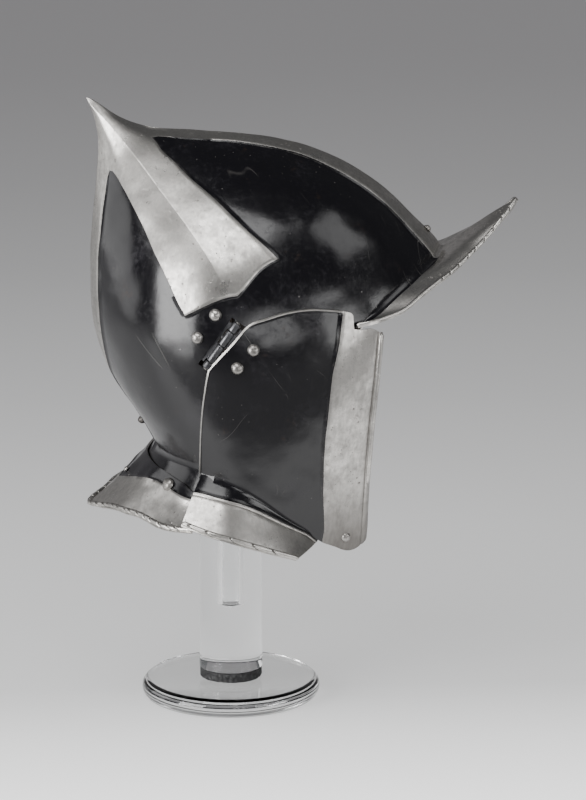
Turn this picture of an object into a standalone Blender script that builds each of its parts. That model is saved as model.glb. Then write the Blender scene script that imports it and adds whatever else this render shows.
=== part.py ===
"""A black-and-white burgonet, a light open-faced helmet, on a round display stand.

Tables and driving dimensions are in millimetres, and the meshes are written in metres.
+X is the way the helmet faces, +Z is up, -Y is its right side, and the origin is the
middle of the stand's foot, on the surface that it stands on.
"""

import math
from typing import NamedTuple

import bmesh
import bpy
import numpy as np
from mathutils import Matrix, Vector

MM = 0.001

# ---- plate work
SKULL_PLATE = 1.6
SIDE_PLATE = 1.4
LAP_GAP = 0.5
TOUCH_GAP = 0.3
SKULL_COLUMNS = (10, 7, 6, 7)
SKULL_ROWS = 15
ROW_CROWDING = 0.8
COLUMN_BEND = 3.0
SPIKE_SOLID_RINGS = 3.0
FULLNESS = 0.55
PEAK_FILLET = 6.0
NAPE_RING = 14.0

# ---- hinges of the cheekpieces
HINGE_X, HINGE_Y, HINGE_Z = -9.7, 97.8, 276.0
HINGE_LEAN = math.radians(54.4)
KNUCKLE_LENGTHS = (7.0, 11.2, 13.2, 5.0)
KNUCKLE_RADIUS = 3.0
PIN_RADIUS = 1.3
LEAF_PLATE = 1.1
LEAF_HALF_LENGTH = 16.5
LEAF_REACH = 22.0
BARREL_CLEARANCE = 3.9
SLOT_HALF_LENGTH = 19.8
SLOT_BACK = 5.4
SLOT_FRONT = 26.0
SLOT_CUT_HALF_WIDTH = 9.0
SKULL_LEAF_LEVEL = -2.4
CHEEK_LEAF_LEVEL = -0.4
FINGER_ROOT = 1.9
FINGER_LAP = 1.5
BORE_CUT_HALF_LENGTH = 30.0
PIN_STICK_OUT = 1.0
HUNG_ON_HINGE = (
    "cheekpiece",
    "hinge_leaf_cheek",
    "hinge_rivet_cheek_upper",
    "hinge_rivet_cheek_lower",
    "strap_rivet",
)

# ---- stand
FOOT_RADIUS, FOOT_HEIGHT = 63.5, 12.7
GASKET_RADIUS, GASKET_HEIGHT = 22.2, 7.0
POST_RADIUS, POST_TOP = 22.5, 192.0
BORE_RADIUS, BORE_FLOOR, BORE_TIP = 6.3, 68.0, 64.4
ROD_RADIUS, ROD_TOP = 5.8, 384.0
PAD_RADIUS, PAD_RIM, PAD_CROWN = 20.0, 4.0, 12.0


class Ring(NamedTuple):
    """Where one ring round the skull crosses the front, side and rear ridges."""

    front_x: float
    front_z: float
    side_x: float
    side_y: float
    side_z: float
    rear_x: float
    rear_z: float
    front_angle: float
    rear_angle: float
    side_fold: float


# From the tip of the spike down to the chin. The angles are in degrees: half the angle
# between the two flanks at the front and rear ridges, and the fold at the side ridge.
RINGS = (
    Ring(-98.0, 430.5, -98.0, 0.0, 430.5, -98.0, 430.5, 60, 60, 24),
    Ring(-93.0, 428.7, -95.5, 1.8, 426.8, -96.4, 426.0, 60, 60, 24),
    Ring(-84.0, 422.6, -90.5, 4.2, 421.0, -93.7, 419.5, 60, 60, 22),
    Ring(-70.0, 414.6, -83.0, 8.0, 413.5, -91.6, 411.0, 60, 62, 20),
    Ring(-49.0, 409.3, -74.0, 15.5, 403.0, -90.4, 399.5, 61, 64, 18),
    Ring(-20.0, 407.2, -63.0, 28.5, 390.5, -90.8, 385.5, 62, 66, 16),
    Ring(12.6, 404.4, -51.0, 44.0, 376.0, -92.2, 371.0, 63, 68, 14),
    Ring(46.0, 398.0, -37.5, 61.5, 360.0, -94.4, 352.0, 64, 70, 12),
    Ring(80.0, 384.6, -22.5, 79.0, 340.5, -96.2, 331.0, 66, 72, 8),
    Ring(109.5, 364.5, -9.0, 91.5, 317.0, -96.9, 306.0, 68, 74, 4),
    Ring(131.5, 342.5, 1.0, 98.0, 291.0, -96.0, 279.0, 70, 77, 1),
    Ring(147.0, 325.2, 6.0, 100.5, 264.0, -90.5, 253.5, 72, 80, 0),
    Ring(151.0, 300.0, 8.0, 99.5, 238.0, -82.0, 233.5, 80, 84, 0),
    Ring(147.0, 262.0, 8.0, 95.0, 212.0, -70.0, 214.5, 90, 88, 0),
    Ring(137.0, 215.0, 8.0, 88.0, 186.0, -53.0, 186.0, 90, 90, 0),
    Ring(127.0, 168.0, 10.0, 80.0, 156.0, -46.0, 156.0, 90, 90, 0),
    Ring(117.0, 120.0, 12.0, 70.0, 124.0, -40.0, 124.0, 90, 90, 0),
    Ring(107.0, 80.0, 14.0, 60.0, 92.0, -34.0, 92.0, 90, 90, 0),
)


class Place(NamedTuple):
    """A point on the side of the helmet, as seen square from the side."""

    x: float
    z: float


class Point(NamedTuple):
    """A point of the right side of the helmet."""

    x: float
    y: float
    z: float


# The skull's lower edge: the root of the peak, the edge hidden under the cheekpiece's
# top, and the edge hidden under its rear. The last stretch is the crease at the nape.
BROW = (
    Place(149.1, 323.1),
    Place(145.5, 320.0),
    Place(139.2, 316.4),
    Place(126.9, 311.0),
    Place(110.8, 302.5),
    Place(95.4, 292.9),
    Place(87.0, 287.4),
    Place(82.8, 285.4),
)
UNDER_CHEEK = (
    Place(82.8, 285.4),
    Place(74.0, 283.0),
    Place(60.0, 285.0),
    Place(45.0, 286.0),
    Place(30.0, 284.5),
    Place(14.0, 279.5),
    Place(2.0, 270.5),
)
BEHIND_CHEEK = (
    Place(2.0, 270.5),
    Place(-8.0, 259.5),
    Place(-13.0, 248.0),
    Place(-14.0, 230.0),
    Place(-14.0, 205.0),
    Place(-14.0, 186.0),
)
PEAK_EDGE = (
    Point(201.4, 0.0, 356.7),
    Point(196.9, -6.5, 351.1),
    Point(190.4, -12.5, 344.6),
    Point(179.5, -20.5, 333.6),
    Point(163.8, -34.0, 321.4),
    Point(151.7, -46.0, 313.6),
    Point(134.8, -62.0, 305.4),
    Point(119.9, -74.5, 296.0),
    Point(109.8, -82.0, 292.4),
    Point(99.5, -88.0, 290.2),
    Point(90.6, -91.0, 288.6),
    Point(82.8, -91.5, 287.4),
)
NECK_EDGE = (
    Point(-101.3, 0.0, 141.4),
    Point(-91.0, -22.0, 144.4),
    Point(-84.2, -36.5, 147.0),
    Point(-75.0, -53.5, 148.3),
    Point(-64.0, -70.0, 148.3),
    Point(-51.0, -87.0, 145.7),
    Point(-31.0, -101.0, 146.5),
)
CHEEK_FLANGE_EDGE = (
    Point(-38.0, -99.5, 151.0),
    Point(-21.0, -106.5, 145.5),
    Point(-4.0, -108.5, 140.5),
    Point(20.0, -104.0, 132.5),
    Point(41.0, -95.5, 124.5),
)


class Station(NamedTuple):
    """One line down the cheekpiece: its upper end and its lower end."""

    top_x: float
    top_z: float
    low_x: float
    low_z: float
    flanged: bool


CHEEK = (
    Station(-17.5, 259.5, -22.6, 182.4, True),
    Station(-9.0, 269.3, -18.5, 181.8, True),
    Station(0.0, 279.3, -10.0, 179.2, True),
    Station(9.1, 289.3, -1.0, 175.0, True),
    Station(18.5, 292.9, 9.0, 169.5, True),
    Station(29.0, 295.9, 20.0, 161.6, True),
    Station(40.0, 298.1, 31.5, 152.4, True),
    Station(51.0, 298.8, 43.0, 143.6, True),
    Station(60.5, 298.1, 51.8, 137.1, True),
    Station(68.5, 297.0, 58.0, 130.4, True),
    Station(76.5, 295.2, 65.0, 126.2, False),
    Station(79.2, 293.0, 70.0, 123.6, False),
    Station(80.0, 284.2, 74.0, 121.0, False),
    Station(85.5, 283.4, 78.5, 119.3, False),
    Station(91.6, 283.6, 83.5, 119.6, False),
    Station(96.8, 281.0, 87.8, 122.0, False),
)
CHEEK_ROWS = 9
CHEEK_FLANGE_SAG = 0.5
FRONT_EDGE_BOW = 1.6
TURNED_EDGE = (4.4, 6.5)
TURNED_EDGE_DROP = 4.5


class Rivet(NamedTuple):
    """A domed rivet head on a side surface."""

    name: str
    x: float
    z: float
    radius: float
    height: float


SKULL_RIVETS = (
    Rivet("hinge_rivet_skull_upper", -13.8, 296.8, 4.2, 2.7),
    Rivet("hinge_rivet_skull_lower", -26.2, 281.1, 4.2, 2.7),
)
CHEEK_RIVETS = (
    Rivet("hinge_rivet_cheek_upper", 11.6, 273.2, 4.2, 2.7),
    Rivet("hinge_rivet_cheek_lower", 0.7, 261.2, 4.2, 2.7),
    Rivet("strap_rivet", 77.2, 129.7, 3.6, 1.8),
)


class RidgeRivet(NamedTuple):
    """A domed rivet head on a ridge, by its ring, its way out and its gap to the form."""

    name: str
    ring: float
    out_x: float
    out_z: float
    gap: float
    radius: float
    height: float


FRONT_RIDGE_RIVET = RidgeRivet("ridge_rivet", 10.37, 0.74, 0.67, 0.3, 2.9, 2.4)
REAR_RIDGE_RIVET = RidgeRivet("nape_rivet", 13.47, -0.85, -0.52, 0.8, 3.2, 2.6)


class FlareRivet(NamedTuple):
    """A domed rivet head on the neck plate, by its turn and its share of the flare."""

    turn: float
    share: float
    radius: float
    height: float


NECK_RIVET = FlareRivet(1.5, 0.35, 4.8, 3.4)
LINING_RIVET = FlareRivet(2.0, 0.42, 2.2, 1.6)
NECK_END_TURN = 1.24
NECK_COLUMNS = 11
NECK_TOP_SHARES = (0.45, 0.26, 0.18, 0.11)
NAPE_FLANGE_SHARES = (0.14, 0.42)
FLARE_HOLLOWS = (3.4, 1.4)


# ---- curves and surfaces
def spline(rows, at):
    """Points of the natural cubic spline through rows, at row numbers."""
    rows = np.asarray(rows, float)
    count = len(rows)
    system = np.eye(count)
    bend = np.zeros_like(rows)
    for row in range(1, count - 1):
        system[row, row - 1 : row + 2] = (1, 4, 1)
        bend[row] = 6 * (rows[row - 1] - 2 * rows[row] + rows[row + 1])
    bend = np.linalg.solve(system, bend)
    at = np.asarray(at, float)
    low = np.clip(np.floor(at).astype(int), 0, count - 2)
    up = (at - low)[..., None]
    down = 1 - up
    line = down * rows[low] + up * rows[low + 1]
    return line + ((down**3 - down) * bend[low] + (up**3 - up) * bend[low + 1]) / 6


def along(rows, count):
    """Points of the spline through rows, in count equal steps of length."""
    fine = spline(rows, np.linspace(0, len(rows) - 1, 400))
    steps = np.linalg.norm(np.diff(fine, axis=0), axis=1)
    length = np.concatenate(([0], np.cumsum(steps)))
    wanted = np.linspace(0, length[-1], count + 1)
    return np.stack([np.interp(wanted, length, column) for column in fine.T], axis=1)


def unit(vectors):
    return vectors / np.maximum(np.linalg.norm(vectors, axis=-1, keepdims=True), 1e-9)


TABLE = np.array(RINGS)
ZERO = 0 * TABLE[:, 0]
FRONT_RIDGE = np.stack([TABLE[:, 0], ZERO, TABLE[:, 1]], axis=1)
SIDE_RIDGE = np.stack([TABLE[:, 2], -TABLE[:, 3], TABLE[:, 4]], axis=1)
REAR_RIDGE = np.stack([TABLE[:, 5], ZERO, TABLE[:, 6]], axis=1)
ANGLES = np.radians(TABLE[:, 7:])
RIGHT = np.array((0.0, -1.0, 0.0))
SIDE_FACING = np.array((0.0, -1.0, 0.25))


def quarter(start, end, leave, arrive, share):
    """The cubic from one ridge to the next, whose handles make it close to an ellipse."""
    span = end - start
    first = FULLNESS * np.maximum((span * leave).sum(-1, keepdims=True), 0) * leave
    last = FULLNESS * np.maximum((-span * arrive).sum(-1, keepdims=True), 0) * arrive
    share = share[..., None]
    rest = 1 - share
    inner = 3 * rest * share * (rest * (start + first) + share * (end + last))
    return rest**3 * start + inner + share**3 * end


def bowl(turn, ring):
    """Points of the right half of the skull's form.

    turn is 0 on the front ridge, 1 on the side ridge and 2 on the rear ridge, and ring is
    a row number of RINGS.
    """
    turn, ring = np.broadcast_arrays(np.asarray(turn, float), np.asarray(ring, float))
    ridges = [spline(rows, ring) for rows in (FRONT_RIDGE, SIDE_RIDGE, REAR_RIDGE)]
    ways = [
        unit(spline(rows, ring + 0.02) - spline(rows, ring - 0.02))
        for rows in (FRONT_RIDGE, SIDE_RIDGE, REAR_RIDGE)
    ]
    front, side, rear = ridges
    front_way, side_way, rear_way = ways
    angles = spline(ANGLES, ring)
    front_in = np.stack([front_way[..., 2], 0 * ring, -front_way[..., 0]], axis=-1)
    rear_in = np.stack([-rear_way[..., 2], 0 * ring, rear_way[..., 0]], axis=-1)
    half = angles[..., 0:1]
    leave_front = front_in * np.cos(half) + RIGHT * np.sin(half)
    half = angles[..., 1:2]
    leave_rear = rear_in * np.cos(half) + RIGHT * np.sin(half)
    outward = unit(SIDE_FACING - (side_way @ SIDE_FACING)[..., None] * side_way)
    across = np.cross(side_way, outward)
    across = across * np.sign(across[..., :1])
    fold = angles[..., 2:3]
    to_front = across * np.cos(fold) - outward * np.sin(fold)
    to_rear = -across * np.cos(fold) - outward * np.sin(fold)
    ahead = quarter(front, side, leave_front, to_front, np.clip(turn, 0, 1))
    behind = quarter(side, rear, to_rear, leave_rear, np.clip(turn - 1, 0, 1))
    return np.where((turn <= 1)[..., None], ahead, behind)


NET_TURN, NET_RING = np.meshgrid(
    np.linspace(0, 2, 61), np.linspace(0.05, 17, 121), indexing="ij"
)
NET = bowl(NET_TURN, NET_RING)


def on_side(places):
    """The turn and ring of the bowl's points that show at some places in side view."""
    places = np.asarray(places, float)[:, :2]
    away = NET[..., ::2].reshape(-1, 1, 2) - places[None]
    nearest = (away**2).sum(-1).argmin(0)
    turn = NET_TURN.ravel()[nearest].copy()
    ring = NET_RING.ravel()[nearest].copy()
    step = 1e-3
    for _ in range(25):
        miss = places - bowl(turn, ring)[:, ::2]
        low, high = np.clip(turn - step, 0, 2), np.clip(turn + step, 0, 2)
        by_turn = (bowl(high, ring) - bowl(low, ring))[:, ::2] / (high - low)[:, None]
        by_ring = (bowl(turn, ring + step) - bowl(turn, ring - step))[:, ::2] / (2 * step)
        area = by_turn[:, 0] * by_ring[:, 1] - by_turn[:, 1] * by_ring[:, 0]
        area = np.where(np.abs(area) < 1e-6, 1e-6, area)
        add_turn = (miss[:, 0] * by_ring[:, 1] - miss[:, 1] * by_ring[:, 0]) / area
        add_ring = (by_turn[:, 0] * miss[:, 1] - by_turn[:, 1] * miss[:, 0]) / area
        turn = np.clip(turn + np.clip(add_turn, -0.1, 0.1), 0, 2)
        ring = np.clip(ring + np.clip(add_ring, -0.6, 0.6), 0.01, 17)
    return turn, ring


def outward_at(turn, ring):
    """The bowl's unit normals."""
    step = 0.01
    low, high = np.clip(turn - step, 0, 2), np.clip(turn + step, 0, 2)
    by_turn = bowl(high, ring) - bowl(low, ring)
    by_ring = bowl(turn, ring + step) - bowl(turn, ring - step)
    normal = unit(np.cross(by_turn, by_ring))
    return normal * np.where(normal[..., 1:2] > 0, -1, 1)


def lifted(places, lift):
    """Points lift outside the bowl, over some places in side view."""
    turn, ring = on_side(places)
    return bowl(turn, ring) + lift * outward_at(turn, ring)


# ---- making meshes
def material(name, colour, roughness, metallic, alpha=1.0):
    """A named Principled material."""
    made = bpy.data.materials.new(name)
    made.use_nodes = True
    shader = made.node_tree.nodes["Principled BSDF"]
    shader.inputs["Base Color"].default_value = (*colour, 1.0)
    shader.inputs["Roughness"].default_value = roughness
    shader.inputs["Metallic"].default_value = metallic
    shader.inputs["Alpha"].default_value = alpha
    return made


def finish(name, mesh_maker, finish_material, smooth_angle=35.0):
    """An object from a bmesh, with its faces turned out."""
    bmesh.ops.recalc_face_normals(mesh_maker, faces=mesh_maker.faces)
    mesh = bpy.data.meshes.new(name)
    mesh_maker.to_mesh(mesh)
    mesh_maker.free()
    mesh.shade_smooth()
    mesh.set_sharp_from_angle(angle=math.radians(smooth_angle))
    made = bpy.data.objects.new(name, mesh)
    mesh.materials.append(finish_material)
    bpy.context.scene.collection.objects.link(made)
    return made


def mirrored(points, side):
    """Points of the right side as they are, or carried over to the left."""
    return points * (1, 1 if side == "right" else -1, 1)


def sheet_normals(points, faces):
    """Normals at the points of a sheet, weighted by the area of the faces round each."""
    normals = np.zeros_like(points)
    for face in faces:
        corners = points[list(face)]
        if len(face) == 4:
            area = np.cross(corners[2] - corners[0], corners[3] - corners[1])
        else:
            area = np.cross(corners[1] - corners[0], corners[2] - corners[0])
        for corner in face:
            normals[corner] += area
    return unit(normals)


def plate(name, outer, inner, faces, finish_material):
    """A closed wall between an outer and an inner sheet with the same faces."""
    maker = bmesh.new()
    outer_verts = [maker.verts.new(Vector(point) * MM) for point in outer]
    inner_verts = [maker.verts.new(Vector(point) * MM) for point in inner]
    edges = {}
    for face in faces:
        maker.faces.new([outer_verts[corner] for corner in face])
        maker.faces.new([inner_verts[corner] for corner in reversed(face)])
        for start, end in zip(face, face[1:] + face[:1]):
            edges[(start, end)] = (end, start) not in edges and (start, end) not in edges
            if (end, start) in edges:
                edges[(end, start)] = False
    for (start, end), is_rim in edges.items():
        if is_rim:
            rim = (outer_verts[end], outer_verts[start], inner_verts[start], inner_verts[end])
            maker.faces.new(rim)
    return finish(name, maker, finish_material)


def grid_faces(rows, columns):
    """The faces of a grid of points, numbered row by row."""
    return [
        (
            row * columns + column,
            row * columns + column + 1,
            (row + 1) * columns + column + 1,
            (row + 1) * columns + column,
        )
        for row in range(rows - 1)
        for column in range(columns - 1)
    ]


def turned(name, profile, segments, finish_material, centre=(0, 0)):
    """A solid turned about a vertical axis from (radius, height) pairs, ends on the axis."""
    maker = bmesh.new()
    rings = []
    for radius, height in profile:
        if radius == 0:
            point = maker.verts.new(Vector((centre[0], centre[1], height)) * MM)
            rings.append([point] * segments)
            continue
        ring = []
        for step in range(segments):
            angle = 2 * math.pi * step / segments
            x = centre[0] + radius * math.cos(angle)
            y = centre[1] + radius * math.sin(angle)
            ring.append(maker.verts.new(Vector((x, y, height)) * MM))
        rings.append(ring)
    for low, high in zip(rings, rings[1:]):
        for step in range(segments):
            after = (step + 1) % segments
            corners = [low[step], low[after], high[after], high[step]]
            maker.faces.new(list(dict.fromkeys(corners)))
    return finish(name, maker, finish_material, smooth_angle=30.0)


def cylinder(maker, start, end, radius, segments=14):
    """Adds a closed cylinder between two points to a bmesh."""
    start, end = Vector(start), Vector(end)
    place = Matrix.Translation((start + end) / 2 * MM)
    turn = (end - start).to_track_quat("Z", "Y").to_matrix().to_4x4()
    bmesh.ops.create_cone(
        maker,
        cap_ends=True,
        segments=segments,
        radius1=radius * MM,
        radius2=radius * MM,
        depth=(end - start).length * MM,
        matrix=place @ turn,
    )


def solid(name, finish_material, build):
    """An object whose bmesh is filled by a function."""
    maker = bmesh.new()
    build(maker)
    return finish(name, maker, finish_material)


def combine(target, others, operation):
    """Applies Booleans to an object, and removes the other objects."""
    for other in others:
        modifier = target.modifiers.new(operation, "BOOLEAN")
        modifier.operation = operation
        modifier.object = other
        graph = bpy.context.evaluated_depsgraph_get()
        result = bpy.data.meshes.new_from_object(target.evaluated_get(graph))
        target.modifiers.remove(modifier)
        old = target.data
        target.data = result
        result.name = old.name
        bpy.data.meshes.remove(old)
        mesh = other.data
        bpy.data.objects.remove(other)
        bpy.data.meshes.remove(mesh)


# ---- skull
def skull_sheet(first_ring):
    """Points and faces of the skull's surface, with its peak and its nape flange.

    Each column runs down from the spike to a point of the lower edge, and those of the
    peak and the nape go on past it. first_ring is where the columns start.
    """
    brow, over, behind, nape = SKULL_COLUMNS
    edge = [along(BROW, brow), along(UNDER_CHEEK, over)[1:], along(BEHIND_CHEEK, behind)[1:]]
    turn, ring = on_side(np.concatenate(edge))
    turn[0] = 0
    flange_start = brow + over + behind
    nape_turn = np.linspace(turn[-1], 2, nape + 1)[1:]
    turn = np.concatenate((turn, nape_turn))
    ring = np.concatenate((ring, np.full(nape, NAPE_RING)))
    ring[flange_start] = NAPE_RING
    halves = len(turn) - 1
    even = np.linspace(0, 2, halves + 1)
    start_turn = 0.5 * turn + 0.5 * even

    root = bowl(turn, ring)
    peak_edge = along(PEAK_EDGE, brow)
    reach = np.linalg.norm(peak_edge - root[: brow + 1], axis=1)
    fillet = np.minimum(PEAK_FILLET, 0.4 * reach)
    by_ring = np.linalg.norm(bowl(turn, ring) - bowl(turn, ring - 0.1), axis=-1) / 0.1
    end_ring = ring.copy()
    end_ring[: brow + 1] -= fillet / by_ring[: brow + 1]

    share = np.linspace(0, 1, SKULL_ROWS + 1)[:, None] ** ROW_CROWDING
    column_ring = first_ring * (1 - share) + end_ring * share
    column_turn = start_turn + (turn - start_turn) * share**COLUMN_BEND
    grid = bowl(column_turn, column_ring)
    grid[0] = grid[0].mean(axis=0) * (1, 0, 1)

    columns = [list(column) for column in grid[1:].transpose(1, 0, 2)]
    for index in range(brow + 1):
        way = (peak_edge[index] - root[index]) / reach[index]
        begin, corner, end = grid[-1, index], root[index], root[index] + fillet[index] * way
        columns[index].append(0.25 * begin + 0.5 * corner + 0.25 * end)
        for part in (0.0, 0.34, 0.67, 1.0):
            columns[index].append(end + part * (peak_edge[index] - end))
    for index in range(flange_start + 1, halves + 1):
        for share in NAPE_FLANGE_SHARES:
            columns[index].append(flare(turn[index], share, -LAP_GAP - SIDE_PLATE))

    points, numbers = [grid[0, 0]], []
    for side, order in (("right", range(halves + 1)), ("left", range(halves - 1, 0, -1))):
        for index in order:
            numbers.append(list(range(len(points), len(points) + len(columns[index]))))
            points.extend(mirrored(point, side) for point in columns[index])
    faces = []
    for near, far in zip(numbers, numbers[1:] + numbers[:1]):
        faces.append((0, near[0], far[0]))
        for row in range(min(len(near), len(far)) - 1):
            faces.append((near[row], near[row + 1], far[row + 1], far[row]))
    return np.array(points), faces


def make_skull(black):
    """The skull with its peak and nape flange, with a slot for each hinge."""
    outer, faces = skull_sheet(0.0)
    inner, _ = skull_sheet(SPIKE_SOLID_RINGS)
    normals = sheet_normals(inner, faces)
    low_side = inner[:, 2] < inner[:, 2].mean()
    if (normals[low_side] * (inner[low_side] - inner.mean(0))).sum() < 0:
        normals = -normals
    skull = plate("skull", outer, inner - SKULL_PLATE * normals, faces, black)
    for side in ("right", "left"):
        combine(skull, [slot_cutter(side)], "DIFFERENCE")
    skull.data.materials.clear()
    skull.data.materials.append(black)
    return skull


def flare_form(turn, share):
    """Points of the neck plate's outer form: share is 0 at the crease and 1 at the edge."""
    turn, share = np.broadcast_arrays(np.asarray(turn, float), np.asarray(share, float))
    ring = np.full(turn.shape, NAPE_RING)
    outward = outward_at(turn, ring)
    base = bowl(turn, ring) + (LAP_GAP + SIDE_PLATE) * outward
    row = (2 - turn) / (2 - NECK_END_TURN) * (len(NECK_EDGE) - 1)
    edge = spline(NECK_EDGE, np.clip(row, 0, len(NECK_EDGE) - 1))
    share = share[..., None]
    depth = np.interp(turn, (NECK_END_TURN, 1.5), FLARE_HOLLOWS)[..., None]
    inward = unit(-0.7 * outward - (0, 0, 0.7))
    return base + share * (edge - base) + depth * np.sin(math.pi * share) * inward


def flare(turn, share, lift=0.0):
    """Points of the flare at the nape, moved out of it by lift."""
    step = 0.01
    turn, share = np.asarray(turn, float), np.asarray(share, float)
    low, high = np.clip(turn - step, 0, 2), np.clip(turn + step, 0, 2)
    by_turn = flare_form(high, share) - flare_form(low, share)
    by_share = flare_form(turn, share + step) - flare_form(turn, share - step)
    normal = unit(np.cross(by_turn, by_share))
    normal = normal * np.where(normal[..., 2:3] > 0, 1, -1)
    return flare_form(turn, share) + lift * normal


def make_neck_plate(black):
    """The flared plate riveted over the flange at the nape."""
    turn = np.linspace(2, NECK_END_TURN, NECK_COLUMNS + 1)
    top = np.interp(turn, (NECK_END_TURN, 1.4, 1.6, 2), NECK_TOP_SHARES)
    part = np.linspace(0, 1, 5)[:, None]
    share = top + (1 - top) * part
    sheets = []
    for lift in (0.0, -SIDE_PLATE):
        right = flare(np.broadcast_to(turn, share.shape), share, lift)
        right[:, 0, 1] = 0
        left = mirrored(right, "left")[:, :0:-1]
        sheets.append(np.concatenate((left, right), axis=1))
    faces = grid_faces(*sheets[0].shape[:2])
    outer, inner = (sheet.reshape(-1, 3) for sheet in sheets)
    plate("neck_plate", outer, inner, faces, black)


# ---- cheekpieces
def cheek_sheet():
    """Points and faces of the right cheekpiece's outer surface."""
    table = np.array([station[:4] for station in CHEEK])
    share = np.linspace(0, 1, CHEEK_ROWS + 1)[:, None]
    bow = FRONT_EDGE_BOW * np.sin(math.pi * share) * np.linspace(0, 1, len(CHEEK)) ** 4
    x = table[:, 0] * (1 - share) + table[:, 2] * share - bow
    z = table[:, 1] * (1 - share) + table[:, 3] * share
    places = np.stack([x.ravel(), z.ravel()], axis=1)
    grid = lifted(places, LAP_GAP + SIDE_PLATE).reshape(*x.shape, 3)
    columns = [list(column) for column in grid.transpose(1, 0, 2)]

    flanged = sum(station.flanged for station in CHEEK)
    edge = along(CHEEK_FLANGE_EDGE, flanged - 1)
    for index in range(flanged):
        low = grid[-1, index]
        for part in (0.15, 0.55, 1.0):
            sag = CHEEK_FLANGE_SAG * math.sin(math.pi * part)
            columns[index].append(low + part * (edge[index] - low) - (0, 0, sag))

    forward, inward = TURNED_EDGE
    last = grid[:, -1]
    for part in (0.5, 1.0):
        turned_in = last + part * np.array((forward, inward, 0))
        turned_in[0, 2] -= TURNED_EDGE_DROP * part
        turned_in[-1] += part * np.array((-0.6, 0, TURNED_EDGE_DROP))
        columns.append(list(turned_in))

    points, numbers = [], []
    for column in columns:
        numbers.append(list(range(len(points), len(points) + len(column))))
        points.extend(column)
    faces = []
    for near, far in zip(numbers, numbers[1:]):
        for row in range(min(len(near), len(far)) - 1):
            faces.append((near[row], near[row + 1], far[row + 1], far[row]))
    return np.array(points), faces


def make_cheek(side, black):
    """One cheekpiece, which laps over the skull from outside."""
    points, faces = cheek_sheet()
    normals = sheet_normals(points, faces)
    if normals[:, 1].sum() > 0:
        normals = -normals
    outer = mirrored(points, side)
    inner = mirrored(points - SIDE_PLATE * normals, side)
    return plate(f"cheekpiece_{side}", outer, inner, faces, black)


# ---- hinges
HINGE_ALONG = np.array((math.cos(HINGE_LEAN), 0.0, math.sin(HINGE_LEAN)))
HINGE_BACK = np.array((-math.sin(HINGE_LEAN), 0.0, math.cos(HINGE_LEAN)))
HINGE_CENTRE = np.array((HINGE_X, -HINGE_Y, HINGE_Z))


def by_hinge(lengthwise, back, out=0.0):
    """A point of the right hinge: along the pin, square to it to the rear, and outwards."""
    return HINGE_CENTRE + lengthwise * HINGE_ALONG + back * HINGE_BACK + out * RIGHT


def slot_cutter(side):
    """The block that cuts the skull's slot for the barrel, open to the cheekpiece."""

    def build(maker):
        corners = []
        for out in (-SLOT_CUT_HALF_WIDTH, SLOT_CUT_HALF_WIDTH):
            for lengthwise, back in (
                (-SLOT_HALF_LENGTH, SLOT_BACK),
                (SLOT_HALF_LENGTH, SLOT_BACK),
                (SLOT_HALF_LENGTH, -SLOT_FRONT),
                (-SLOT_HALF_LENGTH, -SLOT_FRONT),
            ):
                point = mirrored(by_hinge(lengthwise, back, out), side)
                corners.append(maker.verts.new(Vector(point) * MM))
        for face in (
            (0, 1, 2, 3),
            (7, 6, 5, 4),
            (0, 4, 5, 1),
            (1, 5, 6, 2),
            (2, 6, 7, 3),
            (3, 7, 4, 0),
        ):
            maker.faces.new([corners[corner] for corner in face])

    return solid(f"slot_cutter_{side}", None, build)


def knuckle_spans():
    """The start and end of each knuckle along the pin, from the top one down."""
    gaps = TOUCH_GAP * (len(KNUCKLE_LENGTHS) - 1)
    top = (sum(KNUCKLE_LENGTHS) + gaps) / 2
    spans = []
    for length in KNUCKLE_LENGTHS:
        spans.append((top, top - length))
        top -= length + TOUCH_GAP
    return spans


def leaf_patch(name, side, spans, reach, level, steel):
    """A piece of plate that follows the skull's form, between two distances from the pin."""
    rows = 4 if abs(reach[1] - reach[0]) > KNUCKLE_RADIUS else 2
    columns = 3
    back = np.linspace(*reach, rows)
    lengthwise = np.linspace(*spans, columns)
    places = [by_hinge(one, two)[::2] for two in back for one in lengthwise]
    outer = mirrored(lifted(places, level), side)
    inner = mirrored(lifted(places, level - LEAF_PLATE), side)
    return plate(name, outer, inner, grid_faces(rows, columns), steel)


def make_leaf(name, side, owned, way, level, steel):
    """A hinge leaf with its knuckles: way is 1 on the skull's side and -1 on the cheek's."""
    half = LEAF_HALF_LENGTH
    reach = (way * BARREL_CLEARANCE, way * LEAF_REACH)
    leaf = leaf_patch(name, side, (-half, half), reach, level, steel)
    for number in owned:
        top, low = knuckle_spans()[number]
        start, end = max(low, -half), min(top, half)
        finger = (way * FINGER_ROOT, way * (BARREL_CLEARANCE + FINGER_LAP))
        arm = leaf_patch("arm", side, (start, end), finger, level, steel)
        ends = [mirrored(by_hinge(place, 0), side) for place in (low, top)]
        barrel = solid("barrel", steel, lambda maker: cylinder(maker, *ends, KNUCKLE_RADIUS))
        combine(leaf, [arm, barrel], "UNION")
    cut = BORE_CUT_HALF_LENGTH
    ends = [mirrored(by_hinge(place, 0), side) for place in (-cut, cut)]
    bore = solid("bore", steel, lambda m: cylinder(m, *ends, PIN_RADIUS + TOUCH_GAP))
    combine(leaf, [bore], "DIFFERENCE")
    leaf.data.materials.clear()
    leaf.data.materials.append(steel)
    return leaf


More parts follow.
